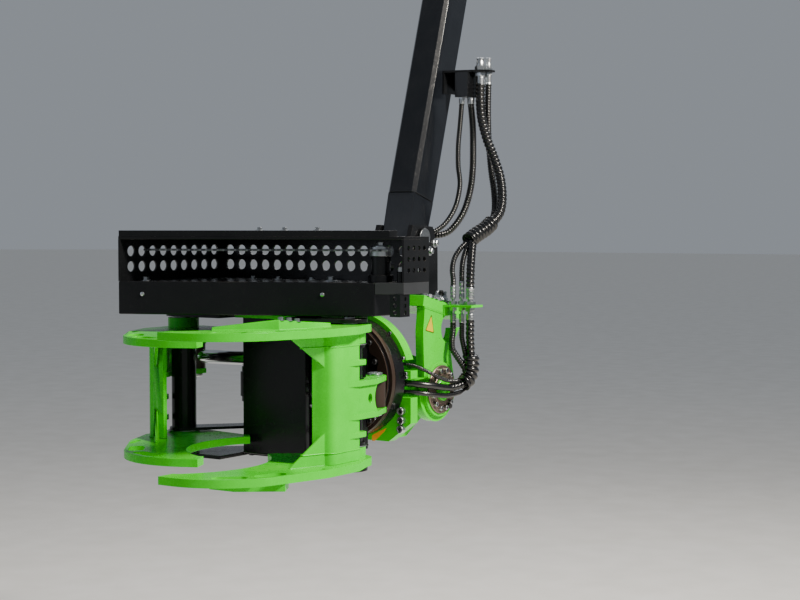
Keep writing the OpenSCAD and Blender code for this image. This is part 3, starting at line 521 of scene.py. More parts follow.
def sweep(bm, line, radius, sides):
    """A closed tube along a line, turned without twist. radius(run, turn) gives the distance of each of its
    points from the line, by the length run so far and the share of a turn."""
    side, run, rings = Vector((1, -0.6, 0.1)), 0.0, []
    for i, at in enumerate(line):
        way = (line[min(i + 1, len(line) - 1)] - line[max(i - 1, 0)]).normalized()
        side = (side - way * side.dot(way)).normalized()
        other = way.cross(side)
        if i:
            run += (at - line[i - 1]).length
        ring = []
        for k in range(sides):
            a = math.tau * k / sides
            r = radius(run, k / sides)
            ring.append(bm.verts.new(at + (side * math.cos(a) + other * math.sin(a)) * r))
        rings.append(ring)
    for low, high in zip(rings, rings[1:]):
        for k in range(sides):
            bm.faces.new((low[k], low[(k + 1) % sides], high[(k + 1) % sides], high[k]))
    bm.faces.new(rings[0])
    bm.faces.new(rings[-1])


def guarded(outer, pitch):
    """The radius of a hose under a spiral guard: a strip with a rounded face, wound with narrow gaps."""
    rise = bpy.context.scene.felling_sizes.guard_rise

    def radius(run, turn):
        place = (run / pitch + turn) % 1.0
        crown = max(0.0, math.sin(math.pi * place)) ** 0.8
        return outer * (0.82 + rise * crown)
    return radius


def hose_piece(name, line, radius, sides, body=None, blend=None):
    """A hose as a tube mesh in the row's frame. It rides on body; given blend, it rides on no body and has
    its placement baked into its mesh, and the two places in blend are not used."""
    bm = bmesh.new()
    sweep(bm, line, radius, sides)
    obj = finish_mesh(bm, name, "spiral_guard", body, None, 50.0, 1.0)
    if blend:
        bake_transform(obj)
    return obj


def ferrule(bm, at, axis, r, length):
    """A crimped hose ferrule: a plain collar, three pressed waists and a rolled lip."""
    w = length / 10
    lathe(bm, at, axis, [
        (0, 0), (r * 0.92, 0), (r, w * 0.5), (r, w * 1.5), (r * 0.93, w * 1.9), (r * 0.93, w * 3.0),
        (r, w * 3.3), (r, w * 3.9), (r * 0.93, w * 4.2), (r * 0.93, w * 5.3), (r, w * 5.6), (r, w * 6.2),
        (r * 0.93, w * 6.5), (r * 0.93, w * 7.6), (r, w * 7.9), (r, w * 9.2), (r * 0.95, w * 10),
        (0, w * 10)], 24)


def union_nut(bm, at, axis, across, height):
    """A union nut: a hexagon with a turned shoulder on each side."""
    at, way = Vector(at), Vector(axis).normalized()
    r = across / 2
    lathe(bm, at, way, [(0, 0), (r * 0.9, 0), (r * 0.96, height * 0.1), (r * 0.96, height), (0, height)], 24)
    hexagon(bm, at + way * height * 0.08, way, across, height * 0.8)


# Finish of each CAD node, and the width of its softened edge in millimetres
NODE_FINISH = {
    "stick_beam": ("stick_topcoat", 2.0), "stick_tip": ("stick_topcoat", 3.0),
    "stick_ear": ("black_topcoat", 2.0), "hose_bracket": ("black_topcoat", 1.0),
    "hanger": ("black_topcoat", 2.0), "hanger_pins": ("turned_steel", 2.0),
    "adapter_slab": ("green_topcoat", 3.0), "adapter_side_right": ("green_topcoat", 2.5),
    "adapter_side_left": ("green_topcoat", 2.5), "actuator_shaft": ("turned_steel", 2.0),
    "actuator_ends": ("green_topcoat", 1.5), "bulkhead": ("green_topcoat", 1.0),
    "actuator_barrel": ("green_topcoat", 2.0),
    "carrier_flange": ("green_topcoat", 2.5), "carrier_frame": ("green_topcoat", 2.0),
    "ring_housing": ("black_topcoat", 2.0), "slew_motor": ("black_topcoat", 2.0),
    "swivel": ("black_topcoat", 2.0),
    # The ring plate's brown is partly painted reflection of the ground below, partly wood dust
    "ring_plate": ("dust_and_reflection_topcoat", 2.0), "frame_top": ("black_topcoat", 2.0),
    "frame_bottom": ("black_topcoat", 2.0), "frame_box": ("black_topcoat", 2.0),
    "frame_mid_plates": ("black_topcoat", 2.0), "tree_rest": ("black_topcoat", 2.0),
    "rest_block": ("green_topcoat", 2.0), "pivot_tubes": ("black_topcoat", 2.0),
    "pivot_pins": ("turned_steel", 2.0), "case_pads": ("black_topcoat", 1.0),
    "saw_case": ("black_topcoat", 4.0), "saw_guard": ("black_topcoat", 0.8),
    "guard_roof": ("black_topcoat", 1.5), "guard_rail": ("grey_topcoat", 2.0),
    "saw_motor": ("black_topcoat", 2.0),
    "arm_right_top": ("green_topcoat", 2.5), "arm_right_bottom": ("green_topcoat", 2.5),
    "arm_right_web": ("green_topcoat", 2.5), "arm_right_lugs": ("green_topcoat", 2.0),
    "arm_left_top": ("green_topcoat", 2.5), "arm_left_bottom": ("green_topcoat", 2.5),
    "arm_left_web": ("green_topcoat", 2.5), "arm_left_lugs": ("green_topcoat", 2.0),
    "lever_pins_right": ("zinc_plate", 1.5), "lever_pins_left": ("zinc_plate", 1.5),
    "cylinder_right": ("black_topcoat", 2.0), "rod_right": ("hard_chrome", 2.0),
    "cylinder_left": ("black_topcoat", 2.0), "rod_left": ("hard_chrome", 2.0),
    "saw_bar": ("ground_bar_steel", 0.6), "saw_holder": ("zinc_plate", 1.0),
}


ROD_EYES = {"rod_right": (450, 185), "rod_left": (-528, 168)}


def body_of(node):
    for body, nodes in frame["record"]["behaviour"]["bodies"].items():
        if node in nodes:
            return body
    raise RuntimeError("no body holds " + node)


def soften(node, key, width):
    """A copy of a CAD node with merged faces and a narrow bevel along its real edges stands for it."""
    bm = bmesh.new()
    bm.from_mesh(frame["nodes"][node].data)
    bmesh.ops.remove_doubles(bm, verts=bm.verts, dist=0.00002)
    bmesh.ops.dissolve_limit(bm, angle_limit=math.radians(0.6), verts=bm.verts, edges=bm.edges,
                             use_dissolve_boundaries=False, delimit={"NORMAL"})
    mesh = bpy.data.meshes.new(node + "_finished")
    bm.to_mesh(mesh)
    bm.free()
    obj = shown(mesh, node + "_finished", key, body_of(node), 30.0)
    edge = obj.modifiers.new("edge", "BEVEL")
    edge.width, edge.segments, edge.limit_method = width * MM, 2, "ANGLE"
    edge.angle_limit = math.radians(30)
    edge.harden_normals = True
    edge.use_clamp_overlap = True
    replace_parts(obj, node)
    return obj


# ---------------------------------------------------------------- operators


class FELLING_OT_camera(bpy.types.Operator):
    """Sets the camera at the photograph's angle and distance"""

    bl_idname = "felling.camera"
    bl_label = "Camera"

    def execute(self, context):
        data = bpy.data.cameras.new("camera")
        data.sensor_width = 36.0
        data.lens = data.sensor_width * FOCAL_PX / WIDTH_PX
        data.clip_end = 200
        cam = bpy.data.objects.new("camera", data)
        context.scene.collection.objects.link(cam)
        cam.location = at_head(4257.6, -5272.2, 682.0)
        cam.rotation_euler = (math.pi / 2 - math.atan(HORIZON_PX / FOCAL_PX), 0, math.radians(34))
        context.scene.camera = cam
        return {"FINISHED"}


class FELLING_OT_stage(bpy.types.Operator):
    """Lays a pale floor and hangs soft studio lights"""

    bl_idname = "felling.stage"
    bl_label = "Stage"

    def execute(self, context):
        # Low enough for the head to hang straight down over it
        floor_z = TILT.z - 1.95
        bm = bmesh.new()
        bmesh.ops.create_grid(bm, x_segments=2, y_segments=2, size=150)
        bmesh.ops.translate(bm, vec=(0, 0, floor_z), verts=bm.verts)
        mesh = bpy.data.meshes.new("floor")
        bm.to_mesh(mesh)
        bm.free()
        m, tree, shader = new_material("pale_floor")
        where = add(tree, "ShaderNodeTexCoord").outputs["Object"]
        grain = add(tree, "ShaderNodeTexNoise", [("Vector", where)], Scale=3.0, Detail=4.0)
        tone = add(tree, "ShaderNodeValToRGB", [("Fac", grain.outputs[0])],
                   stops=[(0.3, linear("#EFECE6")), (0.7, linear("#F8F5F0"))])
        tree.links.new(tone.outputs["Color"], shader.inputs["Base Color"])
        shader.inputs["Roughness"].default_value = 0.85
        floor = bpy.data.objects.new("floor", mesh)
        mesh.materials.append(m)
        context.scene.collection.objects.link(floor)
        world = bpy.data.worlds.new("studio")
        world.use_nodes = True
        world.node_tree.nodes["Background"].inputs[0].default_value = linear("#DCE4EE")
        world.node_tree.nodes["Background"].inputs[1].default_value = 0.36
        context.scene.world = world
        # name, place from the head in metres, size, watts, colour
        for name, at, size, watts, colour in (
            ("key_light", (5.8, 0.4, 5.0), 1.2, 1500, "#FFF7EA"),
            ("fill_light", (-5.0, -8.0, 3.0), 5.0, 60, "#E6EEFF"),
            ("rim_light", (-2.0, 6.0, 5.0), 4.0, 160, "#FFFFFF"),
        ):
            data = bpy.data.lights.new(name, "AREA")
            data.size, data.energy, data.color = size, watts, linear(colour)[:3]
            lamp = bpy.data.objects.new(name, data)
            lamp.location = HEAD + Vector(at)
            way = Vector((0, 0.2, 0.2)) - Vector(at)
            lamp.rotation_euler = way.to_track_quat("-Z", "Y").to_euler()
            context.scene.collection.objects.link(lamp)
        return {"FINISHED"}


class FELLING_OT_plates(bpy.types.Operator):
    """Finishes every CAD node with softened edges and its real coating"""

    bl_idname = "felling.plates"
    bl_label = "Plates"

    def execute(self, context):
        for node, (key, width) in NODE_FINISH.items():
            obj = soften(node, key, width)
            if node in ROD_EYES:
                # The forged eye is painted, and only the rod is chromed
                obj.data.materials.append(MATERIALS["dust_and_reflection_topcoat"])
                pin = at_head(*ROD_EYES[node], 0)
                for face in obj.data.polygons:
                    if (face.center - pin).xy.length < 0.0475:
                        face.material_index = 1
        return {"FINISHED"}


class FELLING_OT_hoses(bpy.types.Operator):
    bl_idname = "felling.hoses"
    bl_label = "Hoses"

    def hoses_on_stick(self, node, rows, routes):
        """Hoses that stay on the stick; rows are name, radius and pitch of the guard's windings."""
        for (name, r, pitch), route in zip(rows, routes):
            line = smooth_line(route, pitch / 7)
            obj = hose_piece(name, line, guarded(r, pitch), 18, "stick")
            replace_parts(obj, node)
            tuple(line[0])
            long(line)

    def ring_hose(self, name, over, past, r_over, r_past, pitch, bare):
        """A hose from the bulkhead through the loop's guard to the ring. It thins from r_over to r_past and
        has no guard of its own on the stretch that bare gives, counted from the loop's start."""
        drop = DROP_ROUTES[over]
        start = long(smooth_line(drop, 0.01))
        # The loop hangs a little behind and below the point where the two routes meet
        low = Vector(RING_ROUTES[past][0]) + Vector((0.012, 0.034, -0.006))
        rough = smooth_line((*drop, low, *RING_ROUTES[past][1:]), 0.004)
        line = smooth_line(eased(rough, start - 0.13, start + 0.26), pitch / 6)

        def radius(run, turn):
            share = min(1.0, max(0.0, (run - start) / 0.05))
            outer = r_over + (r_past - r_over) * share
            # Pressed together where the loop's guard holds them
            held = min(max(0.0, (run - start + 0.03) / 0.02), max(0.0, (start + 0.12 - run) / 0.02), 1.0)
            outer *= 1.0 - 0.4 * held
            if bare and bare[0] < run - start < bare[1]:
                return outer * 0.92
            return guarded(outer, pitch)(run, turn)

        # Two places between the loop and the ring; hose_piece does not use them
        crossing = (at_head(370, 958, 0), at_head(370, 712, 0))
        obj = hose_piece(name, line, radius, 18, None, crossing)
        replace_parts(obj, "hoses_drop", "hoses_ring")
        on_it = []
        if name == "hose_ring_large":
            low, high = start - 0.035, start + 0.125
            part = [p - HEAD for p, run in zip(line, lengths(line)) if low < run < high]
            part = smooth_line(part[::6], 0.003)
            on_it.append(hose_piece("loop_guard", part, guarded(0.037, 0.025), 24, None, crossing))
            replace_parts(on_it[0], "hose_sleeve")
        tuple(line[0])
        long(line)

    def execute(self, context):
        self.hoses_on_stick("hoses_stick", (
            ("hose_thin_front", 0.012, 0.0115), ("hose_thin_back", 0.016, 0.013),
            ("hose_large", 0.022, 0.020), ("hose_medium", 0.015, 0.013)), STICK_ROUTES)
        self.hoses_on_stick("hoses_slab", (
            ("hose_slab_front", 0.012, 0.0115), ("hose_slab_middle", 0.012, 0.0115),
            ("hose_slab_large", 0.019, 0.019)), [route[::-1] for route in SLAB_ROUTES])
        line = smooth_line(BUNDLE_ROUTE, 0.003)
        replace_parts(hose_piece("bundle_guard", line, guarded(0.036, 0.023), 24, "stick"), "hose_bundle")
        # name, places in the two route lists, radius over and past the loop, pitch, bare stretch
        for row in (("hose_ring_upper", 1, 0, 0.012, 0.009, 0.0105, None),
                    ("hose_ring_large", 2, 1, 0.019, 0.017, 0.021, (0.20, 9.0)),
                    ("hose_ring_lower", 0, 2, 0.014, 0.012, 0.012, (0.0, 9.0))):
            self.ring_hose(*row)
        return {"FINISHED"}


class FELLING_OT_hose_ends(bpy.types.Operator):
    """Turns the hose ends: crimped ferrules, union nuts and the capped stubs on the stick's bracket"""

    bl_idname = "felling.hose_ends"
    bl_label = "Hose ends"

    def execute(self, context):
        bm = bmesh.new()
        # Ports of the adapter's bulkhead: place, hose radius over and under, top and bottom of the ferrules
        for x, y, up, down, high, low in ((332, 990, 12, 14, 408, 250), (372, 1002, 12, 12, 430, 250),
                                          (418, 1000, 19, 19, 402, 262)):
            union_nut(bm, (x, y, 326), (0, 0, 1), 2 * up + 8, 18)
            lathe(bm, (x, y, 344), (0, 0, 1), [(0, 0), (up * 0.62, 0), (up * 0.62, 14), (0, 14)], 20)
            ferrule(bm, (x, y, high + 6), (0, 0, -1), up * 0.9 + 3, high - 348)
            union_nut(bm, (x, y, 316), (0, 0, -1), 2 * down + 6, 20)
            lathe(bm, (x, y, 296), (0, 0, -1), [(0, 0), (down * 0.6, 0), (down * 0.6, 14), (0, 14)], 20)
            ferrule(bm, (x, y, low - 6), (0, 0, 1), down * 0.9 + 3, 290 - low)
        slab = finish_mesh(bm, "slab_hose_ends", "zinc_plate", "stick", on_head())
        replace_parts(slab, "slab_fittings")
        bm = bmesh.new()
        for x, y, r in ((160, 62, 19), (190, 88, 12)):
            union_nut(bm, (x, y, 10), (0, 0, 1), 2 * r + 10, r * 1.2)
            top = 60 - r * 1.1
            lathe(bm, (x, y, 10 + r * 1.1), (0, 0, 1), [
                (0, 0), (r, 0), (r, 18), (r * 0.86, 22), (r * 0.86, 30), (r + 1, 33), (r + 1, top - 2),
                (r - 2, top), (0, top)], 24)
            union_nut(bm, (x, y, 0), (0, 0, -1), 2 * r + 10, r * 1.2)
            ferrule(bm, (x, y, -60), (0, 0, 1), r + 3, top)
        for x, y, r in ((84, 14, 12), (112, 52, 16)):
            union_nut(bm, (x, y, -120), (0, 0, -1), 2 * r + 4, 10)
            ferrule(bm, (x, y, -152), (0, 0, 1), r + 3, 24)
        stick = finish_mesh(bm, "stick_hose_ends", "zinc_plate", "stick", on_bracket())
        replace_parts(stick, "stick_fittings")
        return {"FINISHED"}


def chains(edges):
    """Splits loose edges into runs of places, each from end to end or once round."""
    near = {}
    for e in edges:
        for a, b in (e.verts, reversed(e.verts)):
            near.setdefault(a, []).append(b)
    runs, done = [], set()
    for start in sorted(near, key=lambda v: (len(near[v]), v.index)):
        if start in done:
            continue
        run = [start]
        done.add(start)
        while True:
            ahead = [v for v in near[run[-1]] if v not in done]
            if not ahead:
                break
            run.append(ahead[0])
            done.add(ahead[0])
        if len(run) > 2 and run[0] in near[run[-1]]:
            run.append(run[0])
        if len(run) > 1:
            runs.append([v.co.copy() for v in run])
    return runs


def even(run, step):
    """The same run with a place every step."""
    out = [run[0]]
    for a, b in zip(run, run[1:]):
        count = max(1, round((b - a).length / step))
        out += [a.lerp(b, (k + 1) / count) for k in range(count)]
    return out


def bead(bm, run, leg):
    """A fillet weld along a run: a rounded bead whose surface ripples every few millimetres."""
    line = even(run, leg * 0.45)
    if len(line) > 3:
        ripple = math.tau / (leg * 1.3)
        sweep(bm, line, lambda along, turn: leg * (0.86 + 0.10 * math.sin(ripple * along)), 7)


def seam(bm, node, at, normal):
    """Welds round the outline that a plane cuts from a CAD node."""
    leg = bpy.context.scene.felling_sizes.weld_width * 0.5
    cut = bmesh.new()
    cut.from_mesh(frame["nodes"][node].data)
    bmesh.ops.remove_doubles(cut, verts=cut.verts, dist=0.00002)
    got = bmesh.ops.bisect_plane(cut, geom=cut.verts[:] + cut.edges[:] + cut.faces[:], dist=1e-6,
                                 plane_co=at, plane_no=normal)["geom_cut"]
    for run in chains([g for g in got if isinstance(g, bmesh.types.BMEdge)]):
        bead(bm, run, leg)
    cut.free()


def dome(bm, at, axis, r, h):
    """A turned washer with a domed face and the grease nipple in its middle."""
    lathe(bm, at, axis, [
        (0, 0), (r, 0), (r, h * 0.35), (r * 0.9, h * 0.62), (r * 0.66, h * 0.86), (r * 0.3, h), (4.5, h),
        (4.5, h + 5), (2.6, h + 7), (3.6, h + 10), (3.6, h + 12), (1.4, h + 15), (0, h + 15)], 28)


# Takes a plate drawn in (x, y) to a face that looks along -Y, and to one that looks along +X
FACE_FRONT = Matrix(((1, 0, 0, 0), (0, 0, -1, 0), (0, 1, 0, 0), (0, 0, 0, 1)))
FACE_RIGHT = Matrix(((0, 0, 1, 0), (1, 0, 0, 0), (0, 1, 0, 0), (0, 0, 0, 1)))


def film(name, points, height, key, body, place, t=0.35):
    """A thin film with its outline in millimetres, lying on a face."""
    bm = bmesh.new()
    prism(bm, points, height, height + t)
    return finish_mesh(bm, name, key, body, place)


def disc(x, y, r, sides=20):
    angles = [math.tau * k / sides for k in range(sides)]
    return [(x + r * math.cos(a), y + r * math.sin(a)) for a in angles]


def cut_plate(outline, holes, t, name, key, body, place):
    """A plate between z 0 and t, with holes; the outline and the holes are lists of (x, y)."""
    bm = bmesh.new()
    loops = [[bm.verts.new((x, y, 0)) for x, y in loop] for loop in (outline, *holes)]
    edges = [bm.edges.new((a, b)) for loop in loops for a, b in zip(loop, loop[1:] + loop[:1])]
    bmesh.ops.triangle_fill(bm, use_beauty=True, use_dissolve=False, edges=edges)
    side = bmesh.ops.extrude_face_region(bm, geom=bm.faces[:])
    top = [g for g in side["geom"] if isinstance(g, bmesh.types.BMVert)]
    bmesh.ops.translate(bm, vec=(0, 0, t), verts=top)
    return finish_mesh(bm, name, key, body, place)


class FELLING_OT_welds(bpy.types.Operator):
    """Runs weld beads along the plates' joints"""

    bl_idname = "felling.welds"
    bl_label = "Welds"

    def execute(self, context):
        # piece, finish, body, the frame that the cuts are made in, their normal there, and the seams: a CAD
        # node and the height in metres that the plane cuts it at
        up, back = Vector((0, 0, 1)), Vector((0, 1, 0))
        for name, key, body, place, way, cuts in (
            ("welds_arm_right", "green_topcoat", "arm_right", on_head(), up,
             (("arm_right_web", 0.211), ("arm_right_web", -0.211), ("arm_right_lugs", -0.0925))),
            ("welds_arm_left", "green_topcoat", "arm_left", on_head(), up,
             (("arm_left_web", 0.211), ("arm_left_web", -0.211))),
            ("welds_frame", "black_topcoat", "head", on_head(), up,
             (("frame_box", 0.295), ("frame_box", -0.295), ("tree_rest", 0.295), ("tree_rest", -0.295))),
            ("welds_adapter", "green_topcoat", "stick", on_hanger(), up,
             (("adapter_side_left", 0.3475), ("adapter_side_right", 0.3475), ("hanger", 0.406))),
            ("welds_carrier", "green_topcoat", "carrier", on_head(), back, (("carrier_frame", 0.733),)),
            ("welds_stick", "black_topcoat", "stick", on_stick(), back, (("stick_ear", 0.112),)),
        ):
            bm = bmesh.new()
            for node, height in cuts:
                seam(bm, node, place @ (way * height), place.to_3x3() @ way)
            finish_mesh(bm, name, key, body, None, 60.0, 1.0)
        return {"FINISHED"}


class FELLING_OT_ring_screws(bpy.types.Operator):
    """Sets the slewing ring's socket screws and the bolts in the frame's round plate"""

    bl_idname = "felling.ring_screws"
    bl_label = "Ring screws"

    def execute(self, context):
        large = context.scene.felling_sizes.flange_screw / MM
        forward = (0, -1, 0)
        bm = bmesh.new()
        for side in (-1, 1):
            for x, z in ((261, -145), (261, -187), (259, -227.5)):
                socket_screw(bm, (side * x, FLANGE_FACE, z), forward, large)
        for x, z in ((283.6, 9), (283.2, 26), (267.6, 95), (195.5, 205.5)):
            socket_screw(bm, (x, FLANGE_FACE, z), forward, 17)
        finish_mesh(bm, "flange_screws", "zinc_plate", "carrier", on_head())
        # Painted shade in the sockets of the flange's screws
        socket_shade_fill("flange_socket_shade", "carrier", on_head())
        # A ring whose inner edge gives way to each of its bolts
        count, first, steps = 14, math.radians(-2.3), 168
        edge = []
        for k in range(steps):
            a = math.tau * k / steps
            r = 216 + 11 * math.cos(count * (a - first))
            edge.append((r * math.cos(a), r * math.sin(a)))
        # The scalloped ring's brown is partly painted reflection of the ground below, partly wood dust
        cut_plate(disc(0, 0, 261, 96), [edge], 6, "scalloped_ring", "dust_and_reflection_topcoat", "head",
                  on_head() @ Matrix.Translation((0, ROUND_PLATE_FACE * MM, 0)) @ FACE_FRONT)
        bm = bmesh.new()
        for k in range(count):
            a = first + math.tau * k / count
            x, z = 211 * math.cos(a), 211 * math.sin(a)
            if abs(x) > NECK_HALF + 14:
                socket_screw(bm, (x, ROUND_PLATE_FACE, z), forward, 26)
        for side in (-1, 1):
            for z in (168, -183):
                socket_screw(bm, (side * 165, ROUND_PLATE_FACE, z), forward, 24)
        finish_mesh(bm, "round_plate_bolts", "phosphated_steel", "head", on_head())
        # Painted shade in the sockets of the round plate's bolts
        socket_shade_fill("round_plate_socket_shade", "head", on_head())
        return {"FINISHED"}


class FELLING_OT_adapter_trim(bpy.types.Operator):
    """Bolts the adapter's slab and dresses the tilt actuator's two ends"""

    bl_idname = "felling.adapter_trim"
    bl_label = "Adapter trim"

    def execute(self, context):
        across = context.scene.felling_sizes.slab_bolt / MM
        bm = bmesh.new()
        for side in (-1, 1):
            for k in range(4):
                bolt(bm, (side * 285, -177 + 37 * k, SLAB_TOP), (0, 0, 1), across, k * 0.4)
        finish_mesh(bm, "slab_bolts", "zinc_plate", "stick", on_hanger())
        ends, hubs, bolts, caps = bmesh.new(), bmesh.new(), bmesh.new(), bmesh.new()
        for side in (-1, 1):
            way = (side, 0, 0)
            face = side * ACTUATOR_FACE
            # A raised ring that carries the bolts, round a green hub
            lathe(ends, (face, 0, 0), way, [
                (52, 0), (112, 0), (112, 6), (109, 9), (68, 9), (66, 11), (60, 11), (58, 9), (52, 9),
                (52, 0)], 64)
            lathe(hubs, (face, 0, 0), way, [
                (0, 6), (52, 6), (52, 18), (48, 22), (30, 22), (28, 19), (13, 19), (11, 22), (0, 22)], 48)
            for k in range(12):
                a = math.radians(30 * k + 15)
                socket_screw(bolts, (face + side * 9, 89 * math.cos(a), 89 * math.sin(a)), way, 22)
            lathe(caps, (face, 56, -81), way, [(0, 9), (14, 9), (14, 19), (11, 22), (0, 22)], 20)
        finish_mesh(ends, "actuator_end_rings", "rusted_steel", "stick", on_tilt())
        finish_mesh(hubs, "actuator_hubs", "green_topcoat", "stick", on_tilt())
        finish_mesh(bolts, "actuator_bolts", "zinc_plate", "stick", on_tilt())
        # Painted shade in the sockets of the actuator's bolts
        socket_shade_fill("actuator_socket_shade", "stick", on_tilt())
        finish_mesh(caps, "actuator_plugs", "hose_rubber", "stick", on_tilt())
        return {"FINISHED"}


class FELLING_OT_films(bpy.types.Operator):
    """Lays the blank triangle on the adapter and the plain stripe on the carrier's flange"""

    bl_idname = "felling.films"
    bl_label = "Films"

    def execute(self, context):
        corners = [Vector(p) for p in ((854, 287), (800.6, 213), (875.5, 197))]
        mid = (corners[0] + corners[1] + corners[2]) / 3
        for name, share, height, key in (("triangle_rim", 1.0, 300.0, "dark_film"),
                                         ("triangle_field", 0.84, 300.3, "yellow_film")):
            points = []
            for k, c in enumerate(corners):
                for other in (corners[k - 1], corners[(k + 1) % 3]):
                    at = c.lerp(other, 0.06)
                    points.append(tuple(mid + (at - mid) * share))
            film(name, points, height, key, "stick", on_head() @ FACE_RIGHT)
        stripe = [(92, -268), (131, -248), (151, -239), (173, -229), (163, -244), (142, -263), (122, -280),
                  (106, -293), (92, -293)]
        film("ring_stripe", stripe, -FLANGE_FACE, "orange_film", "carrier", on_head() @ FACE_FRONT)
        return {"FINISHED"}


def right_rib(plate_top=290, half=13.0):
    """The rib welded on the right arm's upper plate, along places and heights in the arm's frame."""
    rib = ((-193, -629, 12), (9, -478, 40), (36, -350, 26), (31, -187, 15))
    path = [Vector(p[:2]) for p in rib]
    left, right = [], []
    for k, at in enumerate(path):
        way = (path[min(k + 1, len(path) - 1)] - path[max(k - 1, 0)]).normalized()
        across = Vector((-way.y, way.x)) * half
        left.append(at + across)
        right.append(at - across)
    outline = left + right[::-1]
    heights = [p[2] for p in rib + rib[::-1]]
    bm = bmesh.new()
    prism(bm, [tuple(p) for p in outline], plate_top, plate_top + 1)
    upper = [v for v in bm.verts if v.co.z > plate_top + 0.5]
    for v in upper:
        near = min(range(len(outline)), key=lambda i: (outline[i] - v.co.xy).length)
        v.co.z = plate_top + heights[near]
    edges = [e for e in bm.edges if all(v.co.z > plate_top + 0.5 for v in e.verts)]
    bmesh.ops.bevel(bm, geom=edges, offset=2.5, offset_type="OFFSET", segments=3, profile=0.5,
                    affect="EDGES", material=-1)
    for edge in (left, right):
        bead(bm, [Vector((p.x, p.y, plate_top)) for p in edge], 5)
    finish_mesh(bm, "rib_right", "green_topcoat", "arm_right", on_right_arm())


class FELLING_OT_arms_trim(bpy.types.Operator):
    """Welds the rib on the right arm and fits washers and grease nipples to the arms' pins"""

    bl_idname = "felling.arms_trim"
    bl_label = "Arms trim"

    def execute(self, context):
        right_rib()
        for side, x, y, low, high, body in (("right", 450, 185, -99, 73, "arm_right"),
                                            ("left", -528, 168, 18, 190, "arm_left")):
            bm = bmesh.new()
            lathe(bm, (x, y, high), (0, 0, 1),
                  [(0, 0), (32, 0), (32, 2), (30, 3.2), (17, 4), (15, 3), (0, 3)], 32)
            dome(bm, (x, y, low), (0, 0, -1), 30, 9)
            finish_mesh(bm, "lever_washers_" + side, "zinc_plate", body, on_head())
        bm = bmesh.new()
        for x in (-PIVOT, PIVOT):
            for z in (-1, 1):
                lathe(bm, (x, 0, z * 206.5), (0, 0, z),
                      [(46, 0), (70, 0), (71, 1), (71, 4), (70, 5), (46, 5), (46, 0)], 48)
        finish_mesh(bm, "thrust_washers", "turned_steel", "head", on_head())
        bm = bmesh.new()
        for x, y, h in ((11.4, -466.5, 38.7), (20.2, -424.9, 34.4), (28.7, -384.6, 29.8)):
            bolt(bm, (x, y, 288.5 + h), (0, 0, 1), 18)
        finish_mesh(bm, "rib_bolts", "zinc_plate", "arm_right", on_right_arm())
        return {"FINISHED"}


def bar_line(half=55.0, length=1010.0):
    """The saw bar's edge in its own frame, from its heel round its nose and back."""
    reach = length - half
    out = [Vector((x, half, 0)) for x in range(-20, int(reach), 25)]
    out += [Vector((reach + half * math.sin(a), half * math.cos(a), 0))
            for a in [math.pi * k / 12 for k in range(13)]]
    return out + [Vector((x, -half, 0)) for x in range(int(reach), -21, -25)]


class FELLING_OT_saw_trim(bpy.types.Operator):
    """Runs the chain round the bar and bolts the saw's case and guard"""

    bl_idname = "felling.saw_trim"
    bl_label = "Saw trim"

    def execute(self, context):
        turn = Matrix.Rotation(math.radians(180 + SAW_TURN), 4, "Z")
        on_bar = Matrix.Translation(at_head(*SAW_PIVOT, 587)) @ turn
        bm = bmesh.new()
        line = even(bar_line(), 19.0)
        for k, (a, b) in enumerate(zip(line, line[1:])):
            way = (b - a).normalized()
            out = Vector((-way.y, way.x, 0))
            size = (15.5, 7.0, 3.2) if k % 2 else (13.0, 11.0, 8.0)
            place = Matrix.Translation((a + b) / 2 + out * (1.5 if k % 2 else 3.0) + Vector((0, 0, 4)))
            face = Matrix(((way.x, out.x, 0, 0), (way.y, out.y, 0, 0), (0, 0, 1, 0), (0, 0, 0, 1)))
            made = bmesh.ops.create_cube(bm, size=1.0,
                                         matrix=place @ face @ Matrix.Diagonal((*size, 1.0)))
            if k % 2 == 0:
                # The cutter's top leans back from its edge
                for v in made["verts"]:
                    local = (v.co - a) @ way
                    if (v.co - (a + b) / 2) @ out > 3 and local > 8:
                        v.co -= out * 4
        finish_mesh(bm, "saw_chain", "phosphated_steel", "saw", on_bar)
        bm = bmesh.new()
        lathe(bm, (*SAW_PIVOT, 605), (0, 0, 1),
              [(0, 0), (30, 0), (30, 4), (27, 6), (14, 6), (14, 16), (0, 16)], 32)
        hexagon(bm, (*SAW_PIVOT, 611), (0, 0, 1), 30, 14)
        finish_mesh(bm, "bar_nut", "zinc_plate", "saw", on_head())
        normal = (math.sin(math.radians(SAW_TURN)), -math.cos(math.radians(SAW_TURN)), 0)
        bm = bmesh.new()
        for at in ((-343.1, -374.7, 407.1), (366.5, -70.5, 409.8)):
            lathe(bm, at, normal, [(0, -1), (9.5, -1), (9.5, 2), (8, 5), (4, 7), (0, 7)], 24)
        bolt(bm, (293, 87, CASE_TOP), (0, 0, 1), 28)
        bolt(bm, (-392, -300, CASE_TOP), (0, 0, 1), 24)
        for x in (-200, -60, 120):
            bolt(bm, (x, 225, 672), (0, 0, 1), 19)
            bolt(bm, (x + 30, 140, CASE_TOP), (0, 0, 1), 17)
        finish_mesh(bm, "case_bolts", "zinc_plate", "head", on_head())
        bm = bmesh.new()
        lathe(bm, (648, 84, CASE_TOP), (0, 0, 1), [(0, 0), (15, 0), (15, 44), (13, 46), (0, 46)], 24)
        finish_mesh(bm, "corner_post", "black_topcoat", "head", on_head())
        bm = bmesh.new()
        hexagon(bm, (648, 84, 505), (0, 0, 1), 28, 20)
        finish_mesh(bm, "corner_nut", "zinc_plate", "head", on_head())
        return {"FINISHED"}


